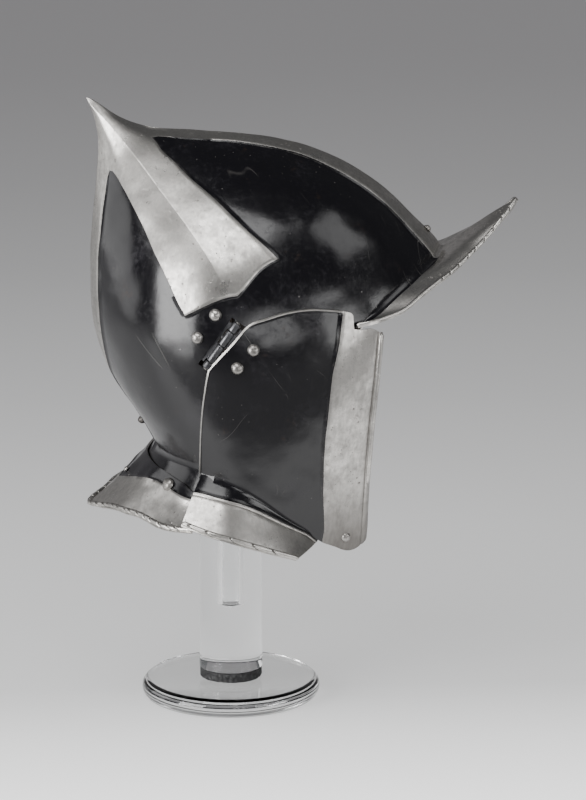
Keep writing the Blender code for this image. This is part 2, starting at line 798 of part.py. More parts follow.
def make_hinge(side, steel, black):
    """The two leaves of a cheekpiece's hinge, and its pin."""
    make_leaf(f"hinge_leaf_skull_{side}", side, (0, 2), 1, SKULL_LEAF_LEVEL, black)
    make_leaf(f"hinge_leaf_cheek_{side}", side, (1, 3), -1, CHEEK_LEAF_LEVEL, black)
    top = knuckle_spans()[0][0] + PIN_STICK_OUT
    low = knuckle_spans()[-1][1] - PIN_STICK_OUT
    ends = [mirrored(by_hinge(place, 0), side) for place in (low, top)]
    solid(f"hinge_pin_{side}", steel, lambda maker: cylinder(maker, *ends, PIN_RADIUS, 10))


def hang_on_hinge(side):
    """Puts the pieces that swing with a cheekpiece under an empty on its hinge's axis."""
    hinge = bpy.data.objects.new(f"hinge_axis_{side}", None)
    bpy.context.scene.collection.objects.link(hinge)
    centre = Vector(mirrored(HINGE_CENTRE, side)) * MM
    turn = Vector(mirrored(HINGE_ALONG, side)).to_track_quat("Z", "Y")
    hinge.matrix_world = Matrix.Translation(centre) @ turn.to_matrix().to_4x4()
    for name in HUNG_ON_HINGE:
        piece = bpy.data.objects[f"{name}_{side}"]
        piece.parent = hinge
        piece.matrix_parent_inverse = hinge.matrix_world.inverted()


# ---- rivets
def rivet_head(name, foot, normal, radius, height, steel):
    """A domed head that stands on a surface at foot."""
    shoulder = (radius * 0.8, height * 0.66)
    head = turned(name, [(0, 0), (radius, 0), shoulder, (0, height)], 10, steel)
    turn = Vector(normal).to_track_quat("Z", "Y").to_matrix().to_4x4()
    head.matrix_world = Matrix.Translation(Vector(foot) * MM) @ turn
    return head


def make_rivets(bright, dark):
    """All the rivet heads."""
    for table, lift in ((SKULL_RIVETS, 0.0), (CHEEK_RIVETS, LAP_GAP + SIDE_PLATE)):
        for rivet in table:
            turn, ring = on_side([(rivet.x, rivet.z)])
            normal = outward_at(turn, ring)[0]
            foot = bowl(turn, ring)[0] + (lift + TOUCH_GAP) * normal
            for side in ("right", "left"):
                name = f"{rivet.name}_{side}"
                at, up = mirrored(foot, side), mirrored(normal, side)
                rivet_head(name, at, up, rivet.radius, rivet.height, bright)
    for rivet, rows, steel in (
        (FRONT_RIDGE_RIVET, FRONT_RIDGE, bright),
        (REAR_RIDGE_RIVET, REAR_RIDGE, dark),
    ):
        out = np.array((rivet.out_x, 0, rivet.out_z))
        foot = spline(rows, rivet.ring) + rivet.gap * out
        rivet_head(rivet.name, foot, out, rivet.radius, rivet.height, steel)
    foot = flare(NECK_RIVET.turn, NECK_RIVET.share, TOUCH_GAP)
    normal = unit(foot - flare(NECK_RIVET.turn, NECK_RIVET.share))
    for side in ("right", "left"):
        at, up = mirrored(foot, side), mirrored(normal, side)
        rivet_head(f"neck_rivet_{side}", at, up, NECK_RIVET.radius, NECK_RIVET.height, bright)
    foot = flare(2.0, LINING_RIVET.share, TOUCH_GAP)
    normal = unit((foot - flare(2.0, LINING_RIVET.share)) * (1, 0, 1))
    foot[1] = 0
    rivet_head("lining_rivet", foot, normal, LINING_RIVET.radius, LINING_RIVET.height, bright)


# ---- stand
def make_stand(clear, rubber):
    """The clear foot, post and rod, the black gasket under the post, and the pad on top."""
    high = FOOT_HEIGHT
    foot = [
        (0, 0),
        (59.0, 0),
        (62.3, 1.6),
        (FOOT_RADIUS, 4.6),
        (FOOT_RADIUS, 7.6),
        (62.4, 11.2),
        (59.8, high),
        (0, high),
    ]
    turned("stand_foot", foot, 48, clear)
    low = FOOT_HEIGHT + TOUCH_GAP
    high = low + GASKET_HEIGHT
    ring = [(0, low), (GASKET_RADIUS, low), (GASKET_RADIUS, high), (0, high)]
    turned("stand_gasket", ring, 32, rubber)
    low = high + TOUCH_GAP
    post = [
        (0, low),
        (POST_RADIUS - 0.8, low),
        (POST_RADIUS, low + 0.8),
        (POST_RADIUS, POST_TOP - 1.0),
        (POST_RADIUS - 1.0, POST_TOP),
        (BORE_RADIUS, POST_TOP),
        (BORE_RADIUS, BORE_FLOOR),
        (0, BORE_TIP),
    ]
    turned("stand_post", post, 32, clear)
    low = BORE_FLOOR + TOUCH_GAP
    rod = [(0, low), (ROD_RADIUS, low), (ROD_RADIUS, ROD_TOP), (0, ROD_TOP)]
    turned("stand_rod", rod, 16, clear)
    low = ROD_TOP + TOUCH_GAP
    dome = [(0, low), (PAD_RADIUS, low), (PAD_RADIUS, low + PAD_RIM)]
    for degrees in (30, 60):
        angle = math.radians(degrees)
        rise = PAD_RIM + (PAD_CROWN - PAD_RIM) * math.sin(angle)
        dome.append((PAD_RADIUS * math.cos(angle), low + rise))
    turned("stand_pad", [*dome, (0, low + PAD_CROWN)], 24, clear)


def main():
    """Clears the scene and builds every piece."""
    for old in list(bpy.data.objects):
        bpy.data.objects.remove(old)
    black = material("black_steel", (0.012, 0.012, 0.016), 0.28, 0.4)
    steel = material("bright_steel", (0.55, 0.54, 0.52), 0.32, 1.0)
    clear = material("clear_acrylic", (0.86, 0.88, 0.88), 0.05, 0.0, 0.35)
    rubber = material("black_rubber", (0.01, 0.01, 0.01), 0.7, 0.0)
    make_skull(black)
    make_neck_plate(black)
    for side in ("right", "left"):
        make_cheek(side, black)
        make_hinge(side, steel, black)
    make_rivets(steel, black)
    for side in ("right", "left"):
        hang_on_hinge(side)
    make_stand(clear, rubber)


main()
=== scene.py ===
"""The looks of a black-and-white burgonet on a clear display stand.

Sizes in the tables and dataclasses are in millimetres, and meshes are written in metres.
+X is the way the helmet faces, +Z is up and -Y is its right side.
"""

from __future__ import annotations

import logging
import math
from dataclasses import dataclass
from enum import Enum
from typing import Any, Callable, NamedTuple, Sequence, Union

import bmesh
import bpy
import numpy as np
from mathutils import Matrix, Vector
from numpy import concatenate as join
from numpy.typing import NDArray


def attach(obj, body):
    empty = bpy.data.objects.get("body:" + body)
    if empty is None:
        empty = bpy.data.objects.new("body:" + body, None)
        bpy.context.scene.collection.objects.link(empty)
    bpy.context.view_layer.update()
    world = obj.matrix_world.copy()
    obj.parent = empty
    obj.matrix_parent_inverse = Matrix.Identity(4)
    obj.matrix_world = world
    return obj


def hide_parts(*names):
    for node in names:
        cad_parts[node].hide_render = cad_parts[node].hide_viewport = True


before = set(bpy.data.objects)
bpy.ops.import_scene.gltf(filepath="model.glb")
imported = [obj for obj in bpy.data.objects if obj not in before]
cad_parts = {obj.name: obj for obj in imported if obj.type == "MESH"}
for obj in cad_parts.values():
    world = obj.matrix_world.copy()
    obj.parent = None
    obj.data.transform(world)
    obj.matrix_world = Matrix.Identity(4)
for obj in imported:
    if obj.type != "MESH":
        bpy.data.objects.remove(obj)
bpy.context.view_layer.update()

Floats = NDArray[np.float64]
Ints = NDArray[np.int64]
Pairs = tuple[tuple[float, float], ...]
Triple = tuple[float, float, float]
Piece = bpy.types.Object
Material = bpy.types.Material
MM = 0.001
ROOT_BODY = "helmet_and_stand"
log = logging.getLogger("burgonet")


class Side(Enum):
    """The two sides of the helmet, by the sign that their points' Y takes."""

    RIGHT = 1.0
    LEFT = -1.0

    @property
    def word(self) -> str:
        """The side's name in the names of pieces."""
        return self.name.lower()

    def place(self, points: Floats) -> Floats:
        """Points of the right side, carried over to this side."""
        return points * (1.0, self.value, 1.0)


# ---- curves and surfaces
def natural_spline(rows: Sequence[Sequence[float]], at: Floats) -> Floats:
    """Points of the natural cubic spline through rows.

    Each stretch is the straight blend of its two rows plus cubic terms, weighted by the
    second derivatives that make the whole curve smooth and leave its ends straight.

    Args:
        rows: The points that the curve passes through.
        at: Row numbers, with fractions.

    Returns:
        One point for each number.
    """
    table = np.asarray(rows, float)
    count = len(table)
    system = np.eye(count)
    inner = np.arange(1, count - 1)
    system[inner, inner - 1] = system[inner, inner + 1] = 1
    system[inner, inner] = 4
    bend = np.zeros_like(table)
    bend[1:-1] = 6 * (table[:-2] - 2 * table[1:-1] + table[2:])
    bend = np.linalg.solve(system, bend)
    at = np.asarray(at, float)
    low = np.clip(np.floor(at).astype(int), 0, count - 2)
    up = (at - low)[..., None]
    down = 1 - up
    line = down * table[low] + up * table[low + 1]
    return line + ((down**3 - down) * bend[low] + (up**3 - up) * bend[low + 1]) / 6


def evenly_along(rows: Sequence[Sequence[float]], shares: Floats) -> Floats:
    """Points of the spline through rows at shares of its length.

    Args:
        rows: The points that the curve passes through.
        shares: From 0 at the first point to 1 at the last.

    Returns:
        One point for each share.
    """
    fine = natural_spline(rows, np.linspace(0, len(rows) - 1, 600))
    steps = np.linalg.norm(np.diff(fine, axis=0), axis=1)
    length = join(([0], np.cumsum(steps)))
    wanted = np.asarray(shares) * length[-1]
    return np.stack([np.interp(wanted, length, column) for column in fine.T], axis=-1)


def unit(vectors: Floats) -> Floats:
    """Vectors of length 1."""
    return vectors / np.maximum(np.linalg.norm(vectors, axis=-1, keepdims=True), 1e-9)


def smooth_step(value: Floats, low: float, high: float) -> Floats:
    """0 below low, 1 above high, and the cubic 3t^2 - 2t^3 between them."""
    share = np.clip((value - low) / (high - low), 0, 1)
    return share * share * (3 - 2 * share)


def parts(count: int, first: int = 0) -> Floats:
    """A column of the shares from 0 to 1 in count steps, from the one numbered first."""
    return np.linspace(0, 1, count + 1)[first:, None]


def angles_round(count: int) -> Floats:
    """The angles of a ring's points, in radians."""
    return np.linspace(0, 2 * math.pi, count, endpoint=False)


def whole_edge(right: Floats) -> Floats:
    """Rows from the middle to the right end, with their mirrored half before them."""
    return join((Side.LEFT.place(right)[:0:-1], right))


class Dents:
    """The low swell that the planishing hammer leaves, a sum of many plane waves."""

    def __init__(self, seed: int, longest: float, shortest: float, height: float) -> None:
        """Draws the waves.

        Args:
            seed: Seed of the random draws.
            longest: The longest wave, in millimetres.
            shortest: The shortest wave, in millimetres.
            height: The root mean square height, in millimetres.
        """
        draw = np.random.default_rng(seed)
        count = 48
        self.ways = unit(draw.normal(size=(count, 3)))
        lengths = shortest * (longest / shortest) ** draw.random(count)
        self.ways *= (2 * math.pi / lengths)[:, None]
        self.phases = draw.random(count) * 2 * math.pi
        self.size = height * math.sqrt(2.0 / count)

    def __call__(self, points: Floats) -> Floats:
        """The height at each point, in millimetres."""
        waves = np.cos(points @ self.ways.T + self.phases)
        return self.size * waves.sum(axis=-1, keepdims=True)


class Ring(NamedTuple):
    """Where a ring round the skull crosses its ridges, and how it turns there."""

    front_x: float
    front_z: float
    side_x: float
    side_y: float
    side_z: float
    rear_x: float
    rear_z: float
    front_angle: float
    rear_angle: float
    side_fold: float


RINGS = (
    Ring(-98.0, 430.5, -98.0, 0.0, 430.5, -98.0, 430.5, 60, 60, 24),
    Ring(-93.0, 428.7, -95.5, 1.8, 426.8, -96.4, 426.0, 60, 60, 24),
    Ring(-84.0, 422.6, -90.5, 4.2, 421.0, -93.7, 419.5, 60, 60, 22),
    Ring(-70.0, 414.6, -83.0, 8.0, 413.5, -91.6, 411.0, 60, 62, 20),
    Ring(-49.0, 409.3, -74.0, 15.5, 403.0, -90.4, 399.5, 61, 64, 18),
    Ring(-20.0, 407.2, -63.0, 28.5, 390.5, -90.8, 385.5, 62, 66, 16),
    Ring(12.6, 404.4, -51.0, 44.0, 376.0, -92.2, 371.0, 63, 68, 14),
    Ring(46.0, 398.0, -37.5, 61.5, 360.0, -94.4, 352.0, 64, 70, 12),
    Ring(80.0, 384.6, -22.5, 79.0, 340.5, -96.2, 331.0, 66, 72, 8),
    Ring(109.5, 364.5, -9.0, 91.5, 317.0, -96.9, 306.0, 68, 74, 4),
    Ring(131.5, 342.5, 1.0, 98.0, 291.0, -96.0, 279.0, 70, 77, 1),
    Ring(147.0, 325.2, 6.0, 100.5, 264.0, -90.5, 253.5, 72, 80, 0),
    Ring(151.0, 300.0, 8.0, 99.5, 238.0, -82.0, 233.5, 80, 84, 0),
    Ring(147.0, 262.0, 8.0, 95.0, 212.0, -70.0, 214.5, 90, 88, 0),
    Ring(137.0, 215.0, 8.0, 88.0, 186.0, -53.0, 186.0, 90, 90, 0),
    Ring(127.0, 168.0, 10.0, 80.0, 156.0, -46.0, 156.0, 90, 90, 0),
    Ring(117.0, 120.0, 12.0, 70.0, 124.0, -40.0, 124.0, 90, 90, 0),
    Ring(107.0, 80.0, 14.0, 60.0, 92.0, -34.0, 92.0, 90, 90, 0),
)
RIGHT = np.array((0.0, -1.0, 0.0))


class Bowl:
    """The form of the skull: a ring's quarter is a cubic close to an ellipse's.

    A place on it is a turn, 0 on the front ridge, 1 on the side ridge and 2 on the rear
    one, and a ring, which is a row number of RINGS.
    """

    FULLNESS = 0.55
    LAST_RING = 17
    NEWTON_STEPS = 12
    LONGEST_STEP = (0.1, 0.6)
    SIDE_FACING = np.array((0.0, -1.0, 0.25))

    def __init__(self) -> None:
        """Takes the ridges and the angles from the table of rings."""
        table = np.array(RINGS)
        none = 0 * table[:, 0]
        self.front = np.stack([table[:, 0], none, table[:, 1]], axis=1)
        self.side = np.stack([table[:, 2], -table[:, 3], table[:, 4]], axis=1)
        self.rear = np.stack([table[:, 5], none, table[:, 6]], axis=1)
        self.angles = np.radians(table[:, 7:])
        self.net_turn, self.net_ring = np.meshgrid(
            np.linspace(0, 2, 61), np.linspace(0.05, self.LAST_RING, 121), indexing="ij"
        )
        self.net = self.point(self.net_turn, self.net_ring)

    def quarter(
        self, start: Floats, end: Floats, leave: Floats, arrive: Floats, share: Floats
    ) -> Floats:
        """Points of the cubic whose handles point along leave and arrive.

        Args:
            start: Where it starts.
            end: Where it ends.
            leave: The unit vector that its first handle points along.
            arrive: The unit vector from its end to its second handle.
            share: From 0 at the start to 1 at the end.

        Returns:
            One point for each share.
        """
        span = end - start
        first = self.FULLNESS * np.maximum((span * leave).sum(-1, keepdims=True), 0) * leave
        last = self.FULLNESS * np.maximum((-span * arrive).sum(-1, keepdims=True), 0) * arrive
        share = share[..., None]
        rest = 1 - share
        inner = 3 * rest * share * (rest * (start + first) + share * (end + last))
        return rest**3 * start + inner + share**3 * end

    def point(self, turn: Floats, ring: Floats) -> Floats:
        """Points of the right half.

        Args:
            turn: From 0 at the front ridge to 2 at the rear ridge.
            ring: Row numbers of the table of rings.

        Returns:
            One point for each pair.
        """
        turn, ring = np.broadcast_arrays(np.asarray(turn, float), np.asarray(ring, float))
        ridges = (self.front, self.side, self.rear)
        front, side, rear = (natural_spline(rows, ring) for rows in ridges)
        front_way, side_way, rear_way = (
            unit(natural_spline(rows, ring + 0.02) - natural_spline(rows, ring - 0.02))
            for rows in ridges
        )
        angles = natural_spline(self.angles, ring)
        none = 0 * ring
        front_in = np.stack([front_way[..., 2], none, -front_way[..., 0]], axis=-1)
        rear_in = np.stack([-rear_way[..., 2], none, rear_way[..., 0]], axis=-1)
        half = angles[..., 0:1]
        leave_front = front_in * np.cos(half) + RIGHT * np.sin(half)
        half = angles[..., 1:2]
        leave_rear = rear_in * np.cos(half) + RIGHT * np.sin(half)
        facing = self.SIDE_FACING
        outward = unit(facing - (side_way @ facing)[..., None] * side_way)
        across = np.cross(side_way, outward)
        across = across * np.sign(across[..., :1])
        fold = angles[..., 2:3]
        to_front = across * np.cos(fold) - outward * np.sin(fold)
        to_rear = -across * np.cos(fold) - outward * np.sin(fold)
        ahead = self.quarter(front, side, leave_front, to_front, np.clip(turn, 0, 1))
        behind = self.quarter(side, rear, to_rear, leave_rear, np.clip(turn - 1, 0, 1))
        return np.where((turn <= 1)[..., None], ahead, behind)

    def normal(self, turn: Floats, ring: Floats) -> Floats:
        """The outward normals, from the cross product of the steps along turn and ring.

        Args:
            turn: From 0 at the front ridge to 2 at the rear ridge.
            ring: Row numbers of the table of rings.

        Returns:
            One unit vector for each pair.
        """
        step = 0.01
        low, high = np.clip(turn - step, 0, 2), np.clip(turn + step, 0, 2)
        by_turn = self.point(high, ring) - self.point(low, ring)
        by_ring = self.point(turn, ring + step) - self.point(turn, ring - step)
        normal = unit(np.cross(by_turn, by_ring))
        return normal * np.where(normal[..., 1:2] > 0, -1, 1)

    def seen_at(self, places: Floats) -> tuple[Floats, Floats]:
        """The turns and rings of the points that show at some places in side view.

        The nearest point of a coarse net starts Newton steps on X and Z.

        Args:
            places: Rows of X and Z.

        Returns:
            The turns and the rings.
        """
        places = np.asarray(places, float)
        turn, ring = np.empty((2, len(places)))
        flat = self.net[..., ::2].reshape(-1, 2)
        for start in range(0, len(places), 500):
            part = slice(start, start + 500)
            nearest = ((flat[:, None] - places[None, part]) ** 2).sum(-1).argmin(0)
            turn[part] = self.net_turn.ravel()[nearest]
            ring[part] = self.net_ring.ravel()[nearest]
        step = 1e-3
        by_most, up_most = self.LONGEST_STEP
        for _ in range(self.NEWTON_STEPS):
            miss = places - self.point(turn, ring)[:, ::2]
            low, high = np.clip(turn - step, 0, 2), np.clip(turn + step, 0, 2)
            span = (high - low)[:, None]
            by_turn = (self.point(high, ring) - self.point(low, ring))[:, ::2] / span
            by_ring = self.point(turn, ring + step) - self.point(turn, ring - step)
            by_ring = by_ring[:, ::2] / (2 * step)
            area = by_turn[:, 0] * by_ring[:, 1] - by_turn[:, 1] * by_ring[:, 0]
            area = np.where(np.abs(area) < 1e-6, 1e-6, area)
            add_turn = (miss[:, 0] * by_ring[:, 1] - miss[:, 1] * by_ring[:, 0]) / area
            add_ring = (by_turn[:, 0] * miss[:, 1] - by_turn[:, 1] * miss[:, 0]) / area
            turn = np.clip(turn + np.clip(add_turn, -by_most, by_most), 0, 2)
            ring = ring + np.clip(add_ring, -up_most, up_most)
            ring = np.clip(ring, 0.01, self.LAST_RING)
        return turn, ring

    def lifted(self, places: Floats, lift: float | Floats) -> Floats:
        """Points outside the form at some places in side view.

        Args:
            places: Rows of X and Z.
            lift: How far outside the form they lie.

        Returns:
            One point for each row.
        """
        turn, ring = self.seen_at(places)
        return self.point(turn, ring) + lift * self.normal(turn, ring)


BOWL = Bowl()


# ---- meshes
def in_scene(name: str, data: bpy.types.ID) -> Piece:
    """Makes an object of a mesh, lamp or camera and links it to the scene.

    Args:
        name: The object's name.
        data: What it shows.

    Returns:
        The object.
    """
    made = bpy.data.objects.new(name, data)
    bpy.context.scene.collection.objects.link(made)
    return made


class Sheets:
    """Vertices and faces of grids that share vertices, with a material slot per face."""

    def __init__(self) -> None:
        """Starts with nothing."""
        self.points = np.zeros((0, 3))
        self.faces: list[Ints] = []
        self.slots: list[Ints] = []

    def add_points(self, points: Floats) -> Ints:
        """Adds a grid of points.

        Args:
            points: The grid.

        Returns:
            The vertices' numbers, in the grid's shape.
        """
        flat = points.reshape(-1, 3)
        numbers = np.arange(len(flat)) + len(self.points)
        self.points = join((self.points, flat))
        return numbers.reshape(points.shape[:-1])

    def add_faces(self, faces: Ints, slots: Ints | int = 0) -> None:
        """Adds faces that are rows of vertex numbers, and their material slots."""
        self.faces.append(faces)
        self.slots.append(np.broadcast_to(np.asarray(slots, int), len(faces)))

    def add_quads(self, numbers: Ints, slots: Ints | int = 0) -> None:
        """Adds the quads between the neighbours of a grid of vertex numbers.

        Args:
            numbers: The grid of vertex numbers.
            slots: One slot, or a grid of slots with a place for each quad.
        """
        around = (numbers[:-1, :-1], numbers[:-1, 1:], numbers[1:, 1:], numbers[1:, :-1])
        quads = np.stack(around, axis=-1).reshape(-1, 4)
        self.add_faces(quads, slots if np.isscalar(slots) else np.ravel(slots))

    def add_fan(self, ring: Ints, centre: Floats) -> None:
        """Adds the triangles between a ring of vertices and a new vertex in its middle.

        Args:
            ring: The ring's vertex numbers.
            centre: The new vertex.
        """
        middle = np.broadcast_to(self.add_points(centre[None]), ring.shape)
        self.add_faces(np.stack((middle, ring, np.roll(ring, -1)), axis=-1))

    def normals(self) -> Floats:
        """Vertex normals, weighted by the area of the faces round each vertex.

        Returns:
            One unit vector for each vertex.
        """
        total = np.zeros_like(self.points)
        for faces in self.faces:
            corners = self.points[faces]
            last = corners[:, 3] if faces.shape[1] == 4 else corners[:, 0]
            area = np.cross(corners[:, 2] - corners[:, 0], last - corners[:, 1])
            for column in faces.T:
                np.add.at(total, column, area)
        return unit(total)

    def swell(self, lift: Floats) -> None:
        """Moves the points along their normals by lift."""
        self.points = self.points + lift * self.normals()

    def turn_out(self, outward: Floats | Triple) -> None:
        """Turns every face over if the normals don't mostly point along outward."""
        if (self.normals() * outward).sum() < 0:
            self.faces = [faces[:, ::-1] for faces in self.faces]

    def thicken(self, depth: Floats | float, inner_slot: int, rim_slot: int) -> None:
        """Makes the sheets one closed wall.

        The inner points lie depth below the outer ones along the normals, the inner faces
        are the outer ones turned over, and a quad closes each edge that has one face.

        Args:
            depth: The wall's thickness, or one for each vertex.
            inner_slot: The material slot of the inner faces.
            rim_slot: The material slot of the faces round the rim.
        """
        count = len(self.points)
        depth = np.broadcast_to(np.asarray(depth, float).reshape(-1, 1), (count, 1))
        inner = self.points - depth * self.normals()
        starts = join([faces.ravel() for faces in self.faces])
        ends = join([np.roll(faces, -1, axis=1).ravel() for faces in self.faces])
        open_edge = ~np.isin(starts * count + ends, ends * count + starts)
        starts, ends = starts[open_edge], ends[open_edge]
        backs = [faces[:, ::-1] + count for faces in self.faces]
        self.points = join((self.points, inner))
        for back in backs:
            self.add_faces(back, inner_slot)
        rim = np.stack((ends, starts, starts + count, ends + count), axis=-1)
        self.add_faces(rim, rim_slot)

    def build(self, name: str, materials: Sequence[Material], sharp_angle: float = 50.0) -> Piece:
        """Makes the object.

        Args:
            name: The name of the object and its mesh.
            materials: The materials of its slots, in order.
            sharp_angle: Edges between faces that meet at more than this many degrees
                stay sharp.

        Returns:
            The object, linked to the scene.
        """
        mesh = bpy.data.meshes.new(name)
        for material in materials:
            mesh.materials.append(material)
        faces = [face for grid in self.faces for face in grid.tolist()]
        mesh.from_pydata((self.points * MM).tolist(), [], faces)
        slots = join(self.slots).astype(np.int32)
        mesh.polygons.foreach_set("material_index", slots)
        mesh.validate()
        mesh.shade_smooth()
        mesh.set_sharp_from_angle(angle=math.radians(sharp_angle))
        return in_scene(name, mesh)


def store(piece: Piece, **attributes: Floats) -> None:
    """Keeps numbers for each vertex of a piece, under the names that its material reads.

    Args:
        piece: The piece.
        attributes: One number for each vertex, under each name.
    """
    for name, values in attributes.items():
        kept = piece.data.attributes.new(name, "FLOAT", "POINT")
        kept.data.foreach_set("value", np.ascontiguousarray(values, np.float32).ravel())


def distance_to(points: Floats, border: Floats) -> Floats:
    """Each point's distance to the nearest of the border's points.

    It is the root of |point|^2 - 2 point . border + |border|^2, worked out in blocks.

    Args:
        points: The points.
        border: Points along the border.

    Returns:
        One distance for each point.
    """
    block = 4000
    found = np.empty(len(points))
    squares = (border**2).sum(-1)
    for start in range(0, len(points), block):
        part = points[start : start + block]
        away = (part**2).sum(-1)[:, None] - 2 * part @ border.T + squares
        found[start : start + block] = np.sqrt(np.maximum(away.min(axis=1), 0))
    return found


def tube(sheets: Sheets, path: Floats, radius: Floats, up: Triple, segments: int) -> None:
    """Adds a closed round bar along a path.

    A ring's points are path + radius * (cos(angle) * side + sin(angle) * top), where side
    is square to the path and to up, and a cap closes each end.

    Args:
        sheets: What the bar is added to.
        path: The middle line, a row for each ring.
        radius: A radius for each ring, or a grid with one for each point of each ring.
        up: The way that the bar's top faces.
        segments: How many points a ring has.
    """
    way = unit(np.gradient(path, axis=0))
    side = unit(np.cross(way, up))
    top = np.cross(side, way)
    angle = angles_round(segments)
    radius = np.broadcast_to(radius.reshape(len(path), -1), (len(path), segments))
    across = np.cos(angle)[None, :, None] * side[:, None]
    across = across + np.sin(angle)[None, :, None] * top[:, None]
    numbers = sheets.add_points(path[:, None] + radius[..., None] * across)
    wrapped = join((numbers, numbers[:, :1]), axis=1)
    sheets.add_quads(wrapped[:, ::-1])
    sheets.add_fan(numbers[0], path[0])
    sheets.add_fan(numbers[-1, ::-1], path[-1])


def lathe(
    sheets: Sheets,
    profile: Floats,
    centre: Floats,
    axis: Floats,
    segments: int,
    wobble: float = 0.0,
) -> None:
    """Adds a closed solid turned from a profile.

    A ring's points are centre + height * axis + radius * (cos(angle) * a + sin(angle) * b),
    and both ends of the profile lie on the axis.

    Args:
        sheets: What the solid is added to.
        profile: Rows of radius and height, the first and last with radius 0.
        centre: The axis's foot.
        axis: The unit vector that heights run along.
        segments: How many points a ring has.
        wobble: How far the outline strays from round, as a share of the radius.
    """
    side = unit(np.cross(axis, (0.31, 0.17, 0.93) if abs(axis[2]) < 0.9 else (1.0, 0, 0)))
    other = np.cross(axis, side)
    angle = angles_round(segments)
    uneven = 1 + wobble * (np.cos(2 * angle + 1) + 0.6 * np.cos(3 * angle + 2.5))
    inner = profile[1:-1]
    around = np.cos(angle)[:, None] * side + np.sin(angle)[:, None] * other
    radii = inner[:, 0][:, None] * uneven
    rings = centre + inner[:, 1][:, None, None] * axis + radii[..., None] * around
    numbers = sheets.add_points(rings)
    sheets.add_quads(join((numbers, numbers[:, :1]), axis=1))
    sheets.add_fan(numbers[0, ::-1], centre + profile[0, 1] * axis)
    sheets.add_fan(numbers[-1], centre + profile[-1, 1] * axis)


def ends_alike(rows: Sequence[tuple[float, float]], length: float) -> Floats:
    """A profile with both ends shaped by the same rows of radius and height.

    Args:
        rows: The lower end, from the axis outwards.
        length: The whole height.

    Returns:
        The rows, and then the rows in turn with heights of length - height.
    """
    low = np.array(rows, float)
    return join((low, low[::-1] * (1, -1) + (0, length)))


def rounded(corners: Sequence[Triple], steps: int) -> Floats:
    """A profile with rounded corners.

    Each corner is replaced by the parabola that touches both its sides at its rounding's
    distance from it.

    Args:
        corners: Rows of radius, height and rounding.
        steps: How many lengths each rounding has.

    Returns:
        Rows of radius and height.
    """
    rows: list[Floats] = []
    places = np.array([corner[:2] for corner in corners])
    for index, (_, _, size) in enumerate(corners):
        here = places[index]
        if size == 0 or index in (0, len(corners) - 1):
            rows.append(here[None])
            continue
        start = here + size * unit(places[index - 1] - here)
        end = here + size * unit(places[index + 1] - here)
        share = parts(steps)
        rows.append((1 - share) ** 2 * start + 2 * share * (1 - share) * here + share**2 * end)
    return join(rows)


# ---- shader building
Value = Union["Wire", float, int]


def operator(operation: str, reflected: bool = False) -> Callable[["Wire", Value], "Wire"]:
    """Makes one of Wire's arithmetic methods, which adds a Math node.

    Args:
        operation: The Math node's operation.
        reflected: Whether the other value comes first.

    Returns:
        The method.
    """

    def method(wire: "Wire", other: Value) -> "Wire":
        """Adds the node and returns its output."""
        values = (other, wire) if reflected else (wire, other)
        return wire.shop.math(operation, *values)

    return method


class Wire:
    """A node's output socket, with the arithmetic that adds Math nodes."""

    __add__, __radd__ = operator("ADD"), operator("ADD", True)
    __sub__, __rsub__ = operator("SUBTRACT"), operator("SUBTRACT", True)
    __mul__, __rmul__ = operator("MULTIPLY"), operator("MULTIPLY", True)

    def __init__(self, shop: "Shader", socket: bpy.types.NodeSocket) -> None:
        """Wraps a socket of one material's nodes."""
        self.shop = shop
        self.socket = socket

    def math(self, operation: str, *others: Value) -> "Wire":
        """One Math node with this value first."""
        return self.shop.math(operation, self, *others)

    def larger(self, other: Value) -> "Wire":
        """The larger of this value and another."""
        return self.math("MAXIMUM", other)

    def clamped(self) -> "Wire":
        """The value held between 0 and 1."""
        return self.larger(0.0).math("MINIMUM", 1.0)

    def step(self, low: float, high: float) -> "Wire":
        """0 at low, 1 at high and smooth between them; low may be the larger."""
        return self.shop.node(
            "ShaderNodeMapRange",
            {"interpolation_type": "SMOOTHSTEP"},
            {"Value": self, "From Min": low, "From Max": high},
            "Result",
        )


